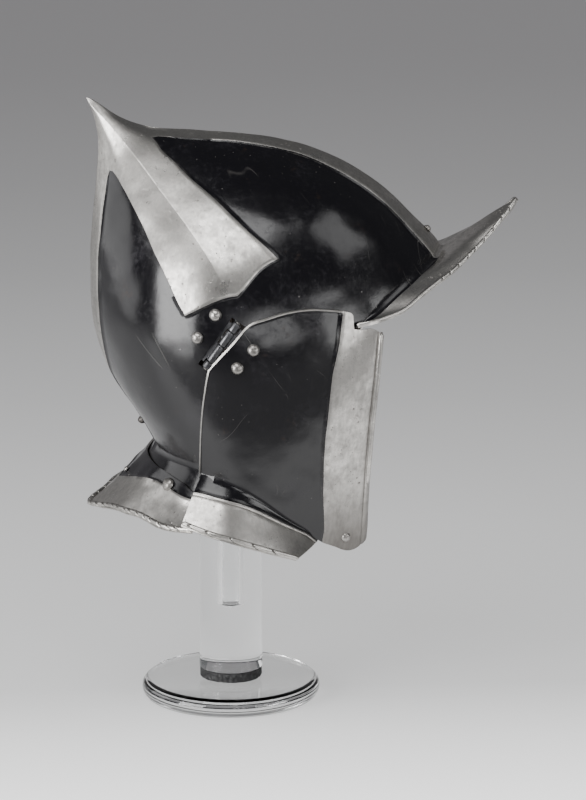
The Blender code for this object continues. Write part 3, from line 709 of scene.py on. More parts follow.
class Shader:
    """One material's nodes: every node comes from node(), and maths from Wire."""

    def __init__(self, name: str) -> None:
        """Makes the material with a Principled shader.

        Args:
            name: The material's name.
        """
        self.material = bpy.data.materials.new(name)
        self.material.use_nodes = True
        self.tree = self.material.node_tree
        self.surface = self.tree.nodes["Principled BSDF"]

    def node(
        self, kind: str, settings: dict[str, Any], sockets: dict[Any, Any], output: Any = 0
    ) -> Wire:
        """Adds a node.

        Args:
            kind: The node's type.
            settings: Its properties; a colour ramp takes its stops under "stops".
            sockets: Values or wires for its inputs, by name or number.
            output: The name or number of the output that is wanted.

        Returns:
            That output.
        """
        made = self.tree.nodes.new(kind)
        for key, value in settings.items():
            if key == "stops":
                self.set_stops(made.color_ramp, value)
            else:
                setattr(made, key, value)
        for key, value in sockets.items():
            self.feed(made.inputs[key], value)
        return Wire(self, made.outputs[output])

    def feed(self, socket: bpy.types.NodeSocket, value: Any) -> None:
        """Links a wire to a socket, or sets the socket's value.

        Args:
            socket: The input.
            value: A wire, a number, a colour or a vector.
        """
        if isinstance(value, Wire):
            self.tree.links.new(value.socket, socket)
        elif hasattr(value, "__len__") and len(value) == 3 and socket.type == "RGBA":
            socket.default_value = (*value, 1.0)
        else:
            socket.default_value = value

    @staticmethod
    def set_stops(ramp: bpy.types.ColorRamp, stops: Sequence[tuple[float, Any]]) -> None:
        """Gives a colour ramp its stops.

        Args:
            ramp: The ramp.
            stops: Pairs of place and colour.
        """
        while len(ramp.elements) < len(stops):
            ramp.elements.new(1.0)
        for element, (place, colour) in zip(ramp.elements, stops):
            element.position = place
            element.color = (*colour, 1.0)

    def math(self, operation: str, *values: Value) -> Wire:
        """Adds a Math node."""
        return self.node("ShaderNodeMath", {"operation": operation}, dict(enumerate(values)))

    def coordinates(self, scale: Triple = (1, 1, 1)) -> Wire:
        """The object coordinates in metres, stretched by a scale.

        Args:
            scale: The stretch along each axis.

        Returns:
            The coordinates.
        """
        place = self.node("ShaderNodeTexCoord", {}, {}, "Object")
        if scale == (1, 1, 1):
            return place
        return self.node("ShaderNodeMapping", {}, {"Vector": place, "Scale": scale})

    def noise(
        self,
        size: float,
        detail: float = 3.0,
        rough: float = 0.5,
        stretch: Triple = (1, 1, 1),
        shift: float = 0.0,
    ) -> Wire:
        """Fractal noise from 0 to 1.

        Args:
            size: The size of its largest features, in millimetres.
            detail: How many octaves it has.
            rough: How strong the finer octaves are.
            stretch: How much finer it is along each axis.
            shift: Moves the pattern, so that two of one size differ.

        Returns:
            The noise.
        """
        return self.node(
            "ShaderNodeTexNoise",
            {"noise_dimensions": "4D"},
            {
                "Vector": self.coordinates(stretch), "W": shift, "Scale": 1000.0 / size,
                "Detail": detail, "Roughness": rough,
            },
            0,
        )

    def cells(self, size: float, shift: float) -> Wire:
        """The distance to the nearest of points scattered about size millimetres apart."""
        return self.node(
            "ShaderNodeTexVoronoi",
            {"voronoi_dimensions": "4D", "feature": "F1"},
            {"Vector": self.coordinates(), "W": shift, "Scale": 1000.0 / size},
            "Distance",
        )

    def pits(self, size: float, radius: float, share: Value, shift: float = 0.0) -> Wire:
        """Round specks, 1 in their middles.

        Args:
            size: The distance between points where a speck may be, in millimetres.
            radius: A speck's radius as a share of size.
            share: 0 for none to 1 for all of them; a wire makes them cluster.
            shift: Moves the pattern.

        Returns:
            The specks.
        """
        spot = self.cells(size, shift).step(radius, 0.35 * radius)
        pick = self.noise(size * 2.3, 1.0, 0.5, shift=shift + 3.1)
        return spot * (pick - (1.0 - share) * 0.62 - 0.16).step(0.0, 0.12)

    def scratches(self, size: float, turn: Triple, shift: float) -> Wire:
        """Fine hairlines, 1 on the line: where a noise drawn out one way crosses its mean.

        Args:
            size: The distance between hairlines, in millimetres.
            turn: The turn of the pattern about each axis, in degrees.
            shift: Moves the pattern.

        Returns:
            The hairlines.
        """
        angles = tuple(math.radians(angle) for angle in turn)
        place = self.node(
            "ShaderNodeMapping",
            {"vector_type": "TEXTURE"},
            {"Vector": self.coordinates(), "Rotation": angles, "Scale": (1.0, 14.0, 3.0)},
        )
        drawn = self.node(
            "ShaderNodeTexNoise",
            {"noise_dimensions": "4D"},
            {"Vector": place, "W": shift, "Scale": 1000.0 / size, "Detail": 0.5},
            0,
        )
        gaps = self.noise(size * 2.2, 2.0, 0.5, shift=shift + 1.7)
        return (drawn - 0.5).math("ABSOLUTE").step(0.007, 0.0) * gaps.step(0.56, 0.66)

    def attribute(self, name: str) -> Wire:
        """A number that the piece keeps for each vertex."""
        settings = {"attribute_type": "GEOMETRY", "attribute_name": name}
        return self.node("ShaderNodeAttribute", settings, {}, "Fac")

    def mix(self, share: Value, first: Any, second: Any) -> Wire:
        """A colour between two colours or wires."""
        return self.node(
            "ShaderNodeMix",
            {"data_type": "RGBA"},
            {"Factor": share, 6: first, 7: second},
            2,
        )

    def ramp(self, value: Wire, stops: Sequence[tuple[float, Any]]) -> Wire:
        """A colour looked up by a value."""
        return self.node("ShaderNodeValToRGB", {"stops": stops}, {"Fac": value}, "Color")

    def bump(self, height: Wire, depth: float, under: Wire | None = None) -> Wire:
        """A normal from a height of 0 to 1 that stands for depth millimetres.

        Args:
            height: The height.
            depth: What a height of 1 stands for.
            under: The normal that it is added to.

        Returns:
            The normal.
        """
        sockets: dict[str, Any] = {"Height": height, "Distance": depth * MM, "Strength": 1.0}
        if under is not None:
            sockets["Normal"] = under
        return self.node("ShaderNodeBump", {}, sockets, "Normal")

    def finish(self, **sockets: Any) -> Material:
        """Feeds the Principled shader and returns the material.

        Args:
            sockets: The shader's sockets, with an underscore for each space.

        Returns:
            The material.
        """
        for key, value in sockets.items():
            self.feed(self.surface.inputs[key.replace("_", " ")], value)
        return self.material


# ---- finishes
@dataclass(frozen=True)
class BlackPaint:
    """Old black oil paint on hammered steel: glossy, specked and rubbed at its borders."""

    name: str = "black_paint"
    black: Triple = (0.0026, 0.0023, 0.0034)
    rubbed: Triple = (0.012, 0.011, 0.014)
    bare: Triple = (0.30, 0.285, 0.265)

    def material(self) -> Material:
        """Makes the material.

        Returns:
            The material.
        """
        shop = Shader(self.name)
        clouds = shop.noise(38, 4, 0.6)
        fine = shop.noise(3.2, 4, 0.65, shift=2.0)
        smear = shop.noise(16, 3, 0.6, stretch=(1, 1, 0.35), shift=5.0)
        worn = (clouds * 0.6 + fine * 0.4).step(0.50, 0.72)
        colour = shop.mix(worn * 0.85, self.black, self.rubbed)
        rust = shop.noise(22, 5, 0.7, shift=9.0).step(0.60, 0.74) * fine.step(0.42, 0.62)
        colour = shop.mix(rust * 0.55, colour, (0.035, 0.020, 0.012))
        border = shop.attribute("border")
        ragged = border * 1000.0 + (shop.noise(2.6, 4, 0.7, shift=4.0) - 0.5) * 1.2
        edge_wear = ragged.step(0.6, 0.1)
        edge_wear = edge_wear * shop.noise(7, 3, 0.6, shift=6.0).step(0.46, 0.64) * 0.15
        gather = shop.noise(24, 3, 0.6, shift=13.0).step(0.42, 0.66) * 0.5 + 0.16
        specks = shop.pits(2.2, 0.20, gather, 7.0).larger(shop.pits(5.0, 0.13, gather, 8.0))
        hairs = shop.scratches(17, (25, 15, 40), 1.0)
        hairs = hairs.larger(shop.scratches(23, (70, -30, 10), 2.0))
        flaked = edge_wear.larger(specks * 0.55).larger(hairs * 0.16)
        colour = shop.mix(flaked * 0.8, colour, self.bare)
        rough = 0.12 + smear * 0.12 + fine.step(0.45, 0.7) * 0.06 + worn * 0.05
        rough = rough + flaked * 0.2
        swell = shop.noise(15, 2, 0.5, shift=3.0)
        normal = shop.bump(swell, 0.14)
        grain = shop.noise(1.6, 3, 0.6, shift=11.0) * 0.6 + fine * 0.4
        normal = shop.bump(grain, 0.045, normal)
        normal = shop.bump(1.0 - flaked, 0.05, normal)
        return shop.finish(
            Base_Color=colour, Roughness=rough, Metallic=flaked * 0.8, Normal=normal, IOR=1.52,
            Specular_IOR_Level=0.5,
        )


@dataclass(frozen=True)
class BrightSteel:
    """Polished steel, clouded, wiped and lightly pitted. It is darker where it meets the paint and
    low on a cheekpiece's front, and has painted shade in the sunk grooves.
    """

    name: str = "bright_steel"
    light: Triple = (0.62, 0.60, 0.57)
    dull: Triple = (0.30, 0.29, 0.275)
    # The colour of stains and pits, and of the painted shade in the sunk grooves.
    stain: Triple = (0.075, 0.066, 0.058)
    wiped: Triple = (2.0, 2.0, 0.25)
    soiling: float = 1.0
    polish: float = 0.24

    def material(self) -> Material:
        """Makes the material.

        Returns:
            The material.
        """
        shop = Shader(self.name)
        clouds = shop.noise(26, 5, 0.62)
        mottle = shop.noise(5.2, 5, 0.68, shift=2.0)
        wiping = shop.noise(4.5, 3, 0.6, stretch=self.wiped, shift=4.0)
        mixed = (clouds * 0.42 + mottle * 0.38 + wiping * 0.20).step(0.36, 0.66)
        colour = shop.mix(mixed, self.dull, self.light)
        where = shop.noise(18, 3, 0.6, shift=12.0)
        pits = shop.pits(1.9, 0.30, where, 1.0).larger(shop.pits(4.6, 0.24, where, 5.0))
        pits = pits.larger(shop.pits(1.1, 0.28, where * 0.8, 9.0))
        blots = shop.noise(9, 5, 0.72, shift=15.0).step(0.60, 0.72) * 0.55
        dirt_and_shade = pits.larger(blots) * self.soiling
        border = shop.attribute("border") * 1000.0
        darkening = (border + (mottle - 0.5) * 3.0).step(1.6, 0.1) * 0.35
        dirt_and_shade = dirt_and_shade.larger(darkening)
        # Darker towards the bottom where a piece marks it, mottled.
        soil = shop.attribute("soil") * (0.35 + mottle)
        # The line attribute paints shade into the cheekpieces' sunk grooves.
        dirt_and_shade = dirt_and_shade.larger(soil).larger(shop.attribute("line"))
        colour = shop.mix(dirt_and_shade.clamped() * 0.8, colour, self.stain)
        hairs = shop.scratches(7, (10, 80, 20), 3.0)
        hairs = hairs.larger(shop.scratches(11, (60, 10, -30), 4.0))
        rough = self.polish + (1.0 - mixed) * 0.17 + dirt_and_shade * 0.25 + hairs * 0.10
        swell = shop.noise(13, 2, 0.5, shift=3.0)
        normal = shop.bump(swell, 0.16)
        normal = shop.bump(wiping * 0.5 + mottle * 0.5, 0.05, normal)
        normal = shop.bump(1.0 - pits, 0.11, normal)
        normal = shop.bump(1.0 - hairs, 0.02, normal)
        return shop.finish(
            Base_Color=colour, Roughness=rough, Metallic=1.0 - dirt_and_shade.clamped() * 0.35,
            Normal=normal,
        )


@dataclass(frozen=True)
class InsideIron:
    """The inside of the plates: dark, dry, brown-grey scale from the forge."""

    name: str = "inside_iron"
    scale: Triple = (0.045, 0.038, 0.034)
    rust: Triple = (0.085, 0.050, 0.030)

    def material(self) -> Material:
        """Makes the material.

        Returns:
            The material.
        """
        shop = Shader(self.name)
        clouds = shop.noise(21, 5, 0.65)
        fine = shop.noise(2.4, 4, 0.6, shift=2.0)
        colour = shop.mix(clouds.step(0.42, 0.66) * 0.8, self.scale, self.rust)
        colour = shop.mix(fine.step(0.5, 0.7) * 0.5, colour, (0.02, 0.017, 0.016))
        rough = 0.52 + fine * 0.25
        blows = shop.cells(13, 3.0)
        normal = shop.bump(blows, 0.5)
        normal = shop.bump(fine, 0.12, normal)
        return shop.finish(Base_Color=colour, Roughness=rough, Metallic=0.55, Normal=normal)


@dataclass(frozen=True)
class NotchedSteel:
    """The turned, notched edges: bright on top and dark in the file cuts."""

    name: str = "notched_steel"
    light: Triple = (0.60, 0.58, 0.55)
    dark: Triple = (0.035, 0.031, 0.029)

    def material(self) -> Material:
        """Makes the material.

        Returns:
            The material.
        """
        shop = Shader(self.name)
        cut = shop.attribute("cut")
        mottle = shop.noise(4.0, 5, 0.68, shift=2.0)
        # Darker in the file cuts, by the cut attribute.
        darkening = (cut * 1.25 + (mottle - 0.5) * 0.9).clamped()
        colour = shop.mix(mottle.step(0.3, 0.7), (0.34, 0.33, 0.31), self.light)
        colour = shop.mix(darkening, colour, self.dark)
        rough = 0.26 + darkening * 0.3 + (1.0 - mottle) * 0.1
        pits = shop.pits(1.7, 0.3, 0.5, 1.0)
        normal = shop.bump(1.0 - pits, 0.08)
        normal = shop.bump(mottle, 0.05, normal)
        return shop.finish(
            Base_Color=colour, Roughness=rough, Metallic=1.0 - darkening * 0.4, Normal=normal
        )


@dataclass(frozen=True)
class ClearAcrylic:
    """Clear cast acrylic with the faintest haze of wiping."""

    name: str = "clear_acrylic_polished"
    tint: Triple = (0.985, 0.99, 0.99)

    def material(self) -> Material:
        """Makes the material.

        Returns:
            The material.
        """
        shop = Shader(self.name)
        haze = shop.noise(9, 4, 0.6)
        hairs = shop.scratches(13, (20, 10, 30), 1.0)
        return shop.finish(
            Base_Color=self.tint, Roughness=0.006 + haze.step(0.5, 0.8) * 0.015 + hairs * 0.03,
            IOR=1.49, Transmission_Weight=1.0,
        )


@dataclass(frozen=True)
class BlackPad:
    """A pad of coarse black crumb between the post and the foot."""

    name: str = "black_crumb"
    black: Triple = (0.008, 0.008, 0.009)

    def material(self) -> Material:
        """Makes the material.

        Returns:
            The material.
        """
        shop = Shader(self.name)
        crumbs = shop.cells(2.6, 1.0)
        fine = shop.noise(1.2, 4, 0.6)
        colour = shop.mix(crumbs.step(0.2, 0.7), (0.035, 0.036, 0.036), self.black)
        normal = shop.bump(1.0 - crumbs, 1.1)
        normal = shop.bump(fine, 0.2, normal)
        rough = 0.45 + fine * 0.3
        return shop.finish(Base_Color=colour, Roughness=rough, Metallic=0.0, Normal=normal)


@dataclass(frozen=True)
class PaleGround:
    """The plain ground and backdrop, lit softly from within by a painted glow: a pool of light that
    is palest by the foot.
    """

    name: str = "pale_ground"
    grey: Triple = (0.30, 0.30, 0.302)
    # Emission along way_back is painted light. It is dim in front of the foot, brightest just
    # before it, and fades towards the backdrop's top.
    glow: tuple[tuple[float, Triple], ...] = (
        (0.0, (0.05, 0.05, 0.05)), (0.4407, (0.05, 0.05, 0.05)), (0.4483, (1.55, 1.55, 1.55)),
        (0.4828, (0.62, 0.62, 0.62)), (0.6069, (0.36, 0.36, 0.362)), (0.6897, (0.26, 0.259, 0.261)),
        (0.7697, (0.212, 0.210, 0.213)), (0.9517, (0.155, 0.151, 0.155)),
    )

    def material(self) -> Material:
        """Makes the material.

        Returns:
            The material.
        """
        shop = Shader(self.name)
        cloud = shop.noise(700, 2, 0.5)
        high = tuple(channel * 1.03 for channel in self.grey)
        colour = shop.mix(cloud, self.grey, high)
        # Painted pool of light: the ground glows by this ramp, though it is no lamp.
        glow = shop.ramp(shop.attribute("way_back"), self.glow)
        return shop.finish(
            Base_Color=colour, Roughness=0.75, Metallic=0.0, Emission_Color=glow,
            Emission_Strength=1.0,
        )


class Finishes:
    """The materials, each made once."""

    def __init__(self) -> None:
        """Makes them all."""
        self.black = BlackPaint().material()
        self.bright = BrightSteel().material()
        self.rivet = BrightSteel(
            "rivet_steel", light=(0.64, 0.62, 0.59), dull=(0.20, 0.19, 0.18), soiling=1.1,
            polish=0.14,
        ).material()
        self.dark_rivet = BrightSteel(
            "dark_rivet_steel", light=(0.16, 0.15, 0.145), dull=(0.05, 0.047, 0.045), soiling=1.5
        ).material()
        self.hinge = BrightSteel(
            "hinge_iron", light=(0.22, 0.22, 0.23), dull=(0.05, 0.05, 0.053),
            stain=(0.012, 0.012, 0.013), polish=0.16,
        ).material()
        self.inside = InsideIron().material()
        self.notched = NotchedSteel().material()
        self.acrylic = ClearAcrylic().material()
        self.pad = BlackPad().material()
        self.ground = PaleGround().material()
        self.plate = (self.black, self.bright, self.inside)


FINISHES = Finishes()


# ---- lines on the helmet
class Line:
    """A drawn line, read as a value against a place; its stretches meet in corners."""

    def __init__(self, *stretches: Sequence[tuple[float, float]]) -> None:
        """Samples the spline through each stretch's pairs of place and value.

        Args:
            stretches: Pairs of place and value, from corner to corner.
        """
        samples = [
            natural_spline(rows, np.linspace(0, len(rows) - 1, 40 * len(rows)))
            for rows in stretches
        ]
        joined = join(samples)
        self.places = np.maximum.accumulate(joined[:, 0])
        self.values = joined[:, 1]

    def __call__(self, at: Floats) -> Floats:
        """The values at some places."""
        return np.interp(at, self.places, self.values)


# Turn against ring, from the corner where each pair of lines starts.
FRONT_BAND = Line(
    (
        (4.26, 0.587), (4.35, 0.428), (4.8, 0.273), (5.4, 0.176), (5.85, 0.137), (6.42, 0.122),
        (6.92, 0.105), (7.52, 0.097), (8.3, 0.095), (9.13, 0.089), (9.61, 0.090), (10.2, 0.100),
        (11.0, 0.104),
    )
)
SIDE_BAND_FRONT = Line(
    (
        (4.26, 0.587), (4.9, 0.741), (5.34, 0.774), (5.74, 0.798), (6.17, 0.817), (6.54, 0.821),
        (7.46, 0.829), (8.12, 0.825), (8.54, 0.81), (8.99, 0.792),
    )
)
SIDE_BAND_REAR = Line(
    (
        (5.09, 1.688), (5.46, 1.547), (6.46, 1.414), (7.13, 1.371), (7.69, 1.350), (8.21, 1.318),
        (8.81, 1.288), (9.28, 1.263), (9.53, 1.248), (10.5, 1.236),
    )
)
REAR_BAND = Line(
    (
        (5.09, 1.688), (5.66, 1.791), (6.79, 1.852), (7.75, 1.878), (8.63, 1.903), (9.9, 1.899),
        (10.96, 1.928), (12.0, 1.985),
    )
)
# Ring against turn.
SIDE_BAND_LOW = Line(
    ((0.792, 8.99), (0.845, 9.02), (0.897, 9.13), (0.969, 9.41)),
    ((0.969, 9.41), (1.018, 9.34), (1.123, 9.37), (1.249, 9.52)),
)
RIM = Line(
    (
        (0.0, 11.12), (0.046, 11.18), (0.131, 11.19), (0.258, 11.03), (0.403, 10.92),
        (0.526, 10.96), (0.613, 11.01),
    ),
    (
        (0.613, 11.01), (0.666, 10.95), (0.739, 10.69), (0.813, 10.51), (0.884, 10.44),
        (0.958, 10.49), (1.02, 10.74), (1.096, 11.11),
    ),
    ((1.096, 11.11), (1.141, 11.56), (1.162, 12.3), (1.19, 13.3), (1.232, 13.98)),
    ((1.232, 14.0), (2.0, 14.0)),
)
PEAK_EDGE = (
    (201.4, 0.0, 356.7), (196.9, -6.5, 351.1), (190.4, -12.5, 344.6), (179.5, -20.5, 333.6),
    (163.8, -34.0, 321.4), (151.7, -46.0, 313.6), (134.8, -62.0, 305.4), (119.9, -74.5, 296.0),
    (109.8, -82.0, 292.4), (99.5, -88.0, 290.2), (90.6, -91.0, 288.6), (82.8, -91.5, 287.4),
)
NECK_EDGE = (
    (-101.3, 0.0, 141.4), (-91.0, -22.0, 144.4), (-84.2, -36.5, 147.0), (-75.0, -53.5, 148.3),
    (-64.0, -70.0, 148.3), (-51.0, -87.0, 145.7), (-31.0, -101.0, 146.5),
)
CHEEK_FLANGE_EDGE = (
    (-38.0, -99.5, 151.0), (-21.0, -106.5, 145.5), (-4.0, -108.5, 140.5), (20.0, -104.0, 132.5),
    (41.0, -95.5, 124.5),
)
NAPE_RING = 14.0
NECK_END_TURN = 1.24
LAP = 1.9
HALF_WIDTH = 108.35


def flare_form(turn: Floats, share: Floats) -> Floats:
    """The neck plate's outer form.

    Its lines run from the crease at the nape to the roped edge, and bow inwards and down
    by depth * sin(pi * share).

    Args:
        turn: From NECK_END_TURN at the right to 2 at the back.
        share: 0 at the crease and 1 at the edge.

    Returns:
        One point for each pair.
    """
    turn, share = np.broadcast_arrays(np.asarray(turn, float), np.asarray(share, float))
    ring = np.full(turn.shape, NAPE_RING)
    outward = BOWL.normal(turn, ring)
    base = BOWL.point(turn, ring) + LAP * outward
    row = (2 - turn) / (2 - NECK_END_TURN) * (len(NECK_EDGE) - 1)
    edge = natural_spline(NECK_EDGE, np.clip(row, 0, len(NECK_EDGE) - 1))
    share = share[..., None]
    depth = np.interp(turn, (NECK_END_TURN, 1.5), (3.4, 1.4))[..., None]
    inward = unit(-0.7 * outward - (0, 0, 0.7))
    return base + share * (edge - base) + depth * np.sin(math.pi * share) * inward


def flare(turn: Floats, share: Floats, lift: float = 0.0) -> Floats:
    """Points of the neck plate's form, moved out of it by lift.

    Args:
        turn: From NECK_END_TURN at the right to 2 at the back.
        share: 0 at the crease and 1 at the edge.
        lift: How far out the points move.

    Returns:
        One point for each pair.
    """
    step = 0.01
    turn, share = np.asarray(turn, float), np.asarray(share, float)
    low, high = np.clip(turn - step, 0, 2), np.clip(turn + step, 0, 2)
    by_turn = flare_form(high, share) - flare_form(low, share)
    by_share = flare_form(turn, share + step) - flare_form(turn, share - step)
    normal = unit(np.cross(by_turn, by_share))
    normal = normal * np.where(normal[..., 2:3] > 0, 1, -1)
    return flare_form(turn, share) + lift * normal


class Slot(Enum):
    """The material slots of a plate."""

    BLACK = 0
    BRIGHT = 1
    INSIDE = 2


def both_halves(right: Floats) -> Floats:
    """A grid whose columns start on the middle plane, with its mirrored half before it."""
    left = Side.LEFT.place(right)[:, :0:-1]
    return join((left, right), axis=1)


# ---- skull
@dataclass
class Skull:
    """The skull with its peak and nape flange: one wall, its painted panels a little sunk."""

    plate: float = 1.6
    sunk: float = 0.7
    bevel: float = 0.45
    corner_gap: float = 0.012
    front_corner: tuple[float, float] = (4.26, 0.587)
    rear_corner: tuple[float, float] = (5.09, 1.688)
    brow_share: float = 0.742
    rear_band_end: float = 12.0
    between: tuple[int, ...] = (1, 4, 1, 26, 10, 1, 8, 1, 1, 9, 1, 17, 1, 4, 1)
    upper_rows: int = 88
    lower_rows: int = 44
    crowding: float = 0.8
    fillet: float = 4.0
    fillet_rows: int = 5
    fillet_fade: tuple[float, float] = (0.60, 0.45)
    rim_gap: float = 0.4
    peak_rows: int = 22
    flange_share: float = 0.42
    flange_rows: int = 6
    solid_rings: float = 3.2
    crest: float = 1.5
    crest_half_width: float = 14.0
    middle: Triple = (20.0, 0.0, 300.0)
    nape_turn: float = 1.232
    peak_turn: float = 0.62
    low_edge_half: float = 0.016

    FRONT_SPAN = range(2, 6)
    BAND_SPAN = range(6, 10)
    REAR_SPAN = range(10, 13)
    REAR_RIDGE_SPAN = range(13, 15)

    def __post_init__(self) -> None:
        """Lays out the grid of turns and rings."""
        self.zone = np.repeat(np.arange(len(self.between)), self.between)
        self.turns, self.rings = self.layout()
        self.brow = int(np.argmax(self.zone == 4))
        self.nape = int(np.argmax(self.turns[-1] >= self.nape_turn))

    def row_rings(self, turn: Floats) -> Floats:
        """The ring of each row, for a grid of turns with the same rows.

        The upper rows divide each column above the side band's lower edge, and the lower
        rows divide it from there to the rim or to the start of the peak's fillet.

        Args:
            turn: The turns, by row and column.

        Returns:
            The rings, in the same grid.
        """
        low_edge = SIDE_BAND_LOW(turn)
        rim = RIM(turn)
        is_peak = turn < self.peak_turn
        speed = BOWL.point(turn, rim) - BOWL.point(turn, rim - 0.1)
        speed = np.linalg.norm(speed, axis=-1) / 0.1
        fillet = self.fillet * smooth_step(turn, *self.fillet_fade)
        end = rim - np.where(is_peak, (fillet + self.rim_gap) / speed, 0)
        half = self.low_edge_half
        upper = parts(self.upper_rows, 1) ** self.crowding
        lower = parts(self.lower_rows)
        above = (low_edge[: len(upper)] - half) * upper
        start = low_edge[len(upper) :] + half
        below = start + (end[len(upper) :] - start) * lower
        return join((above, below))

    def key_turns(self, ring: Floats) -> list[Floats]:
        """The turns of the lines that the grid's columns follow, at some rings.

        Args:
            ring: The rings.

        Returns:
            A turn for each ring, for each line in order.
        """
        middle, gap = self.front_corner[1], self.corner_gap
        first = np.minimum(FRONT_BAND(ring), middle - gap)
        second = np.maximum(SIDE_BAND_FRONT(ring), middle + gap)
        middle = self.rear_corner[1]
        third = np.minimum(SIDE_BAND_REAR(ring), middle - gap)
        fourth = np.maximum(REAR_BAND(ring), middle + gap)
        brow = first + self.brow_share * (second - first)
        steps = BOWL.point(np.linspace(0, 1, 9), ring[..., None])
        length = np.linalg.norm(np.diff(steps, axis=-2), axis=-1).sum(-1)
        half = np.minimum(self.bevel / np.maximum(length, 1), 0.5 * gap)
        return [
            0 * ring, half, first - half, first + half, brow, second - half, second + half,
            1 - half, 1 + 0 * ring, 1 + half, third - half, third + half, fourth - half,
            fourth + half, 2 - half, 2 + 0 * ring,
        ]

    def layout(self) -> tuple[Floats, Floats]:
        """The turns and rings of the right half's grid, whose columns follow the bands.

        Returns:
            The turns and the rings, by row and column.
        """
        rows = self.upper_rows + self.lower_rows + 1
        keys = []
        for number in range(len(self.between) + 1):
            turn = np.full((rows, 1), 2.0 * number / len(self.between))
            for _ in range(8):
                turn = self.key_turns(self.row_rings(turn))[number]
            keys.append(turn)
        columns = []
        for low, high, count in zip(keys, keys[1:], self.between):
            columns.append(low + (high - low) * np.arange(count) / count)
        turns = join([*columns, keys[-1]], axis=1)
        return turns, self.row_rings(turns)

    def slots(self) -> Ints:
        """The material slot of each quad of the right half.

        Returns:
            The slots, by row and column.
        """
        ring = self.rings[:-1, :-1]
        zone = np.broadcast_to(self.zone, ring.shape)
        low = np.arange(len(ring))[:, None] >= self.upper_rows - 1
        front = np.isin(zone, self.FRONT_SPAN) & (ring >= self.front_corner[0])
        band = np.isin(zone, self.BAND_SPAN) & low
        rear = np.isin(zone, self.REAR_SPAN) & (ring >= self.rear_corner[0])
        ridge = np.isin(zone, self.REAR_RIDGE_SPAN) & (ring >= self.rear_band_end)
        black = front | band | rear | ridge
        return np.where(black, Slot.BLACK.value, Slot.BRIGHT.value)

    def levels(self) -> Floats:
        """How far each point of the right half lies below the bright bands.

        Returns:
            The levels, by row and column, 0 or less.
        """
        ring = self.rings
        number = np.broadcast_to(np.append(self.zone, self.zone[-1]), ring.shape)
        low = np.arange(len(ring))[:, None] >= self.upper_rows
        front = np.isin(number, (3, 4, 5))
        band = np.isin(number, (6, 7, 8, 9, 10))
        rear = np.isin(number, (11, 12))
        depth = np.where(front, smooth_step(ring, 4.2, 4.9), 0)
        depth = np.where(rear, smooth_step(ring, 5.0, 5.8), depth)
        depth = np.where((band | front | rear) & low, 1, depth)
        return -self.sunk * depth

    def build(self) -> Piece:
        """Makes the piece.

        Returns:
            The piece.
        """
        sheets = Sheets()
        grid = BOWL.point(self.turns, self.rings)
        level = self.levels()
        numbers, levels, rings = self.add_bowl(sheets, grid, level)
        levels = [levels]
        peak_points, peak_levels = self.peak(grid, level)
        count = self.brow + 1
        above = join((numbers[-1:, -count + 1 :], numbers[-1:, :count]), axis=1)
        added = sheets.add_points(both_halves(peak_points))
        black = np.isin(self.zone[: self.brow], self.FRONT_SPAN)
        black = join((black[::-1], black))
        slots = np.full((len(added), len(black)), Slot.BRIGHT.value)
        slots[: self.fillet_rows, black] = Slot.BLACK.value
        sheets.add_quads(join((above, added)), slots)
        levels.append(join((peak_levels[:, :0:-1], peak_levels), axis=1).ravel())
        shares = np.linspace(0, self.flange_share, self.flange_rows + 1)[1:, None]
        turn = self.turns[-1:, self.nape :]
        right = flare(np.broadcast_to(turn, (self.flange_rows, turn.shape[1])), shares, -LAP)
        right[:, -1, 1] = 0
        flange = both_halves(right[:, ::-1])[:, ::-1]
        half = len(self.turns[0])
        above = numbers[-1:, self.nape : 2 * half - 1 - self.nape]
        added = sheets.add_points(flange)
        sheets.add_quads(join((above, added)), Slot.BLACK.value)
        levels.append(np.full(flange.shape[0] * flange.shape[1], -self.sunk))
        sheets.turn_out(sheets.points - self.middle)
        dents = Dents(7, 70, 22, 0.16)(sheets.points) + Dents(8, 20, 9, 0.035)(sheets.points)
        calm = np.ones(len(sheets.points))
        calm[: len(rings)] = smooth_step(rings, 1.0, 4.0)
        lift = join(levels)[:, None] + dents * calm[:, None]
        sheets.swell(lift)
        border = self.border(sheets.points, numbers)
        outer = len(sheets.points)
        sheets.thicken(self.plate, Slot.INSIDE.value, Slot.BRIGHT.value)
        self.cap_spike(sheets, numbers + outer, rings[1:].reshape(numbers.shape))
        piece = sheets.build("skull_shell", FINISHES.plate)
        for side in Side:
            HINGE.cut_slot(piece, side)
        places = np.empty(len(piece.data.vertices) * 3, np.float32)
        piece.data.vertices.foreach_get("co", places)
        places = places.reshape(-1, 3).astype(float) / MM
        store(piece, border=distance_to(places, border) * MM)
        return piece

    def cap_spike(self, sheets: Sheets, inner: Ints, rings: Floats) -> None:
        """Ends the hollow below the spike, which is solid.

        Each inner point above the last solid row goes to centre + part * (its column's
        point in that row - centre), where part is its row's share of the way there.

        Args:
            sheets: The walls.
            inner: The inner wall's vertex numbers, by row and column.
            rings: The ring of each.
        """
        last = int(np.argmax(rings.min(axis=1) >= self.solid_rings))
        rim = sheets.points[inner[last]]
        centre = rim.mean(axis=0)
        part = (np.arange(1, last + 1) / (last + 1))[:, None, None]
        sheets.points[inner[:last]] = centre + part * (rim - centre)
        sheets.points[inner[0, 0] - 1] = centre

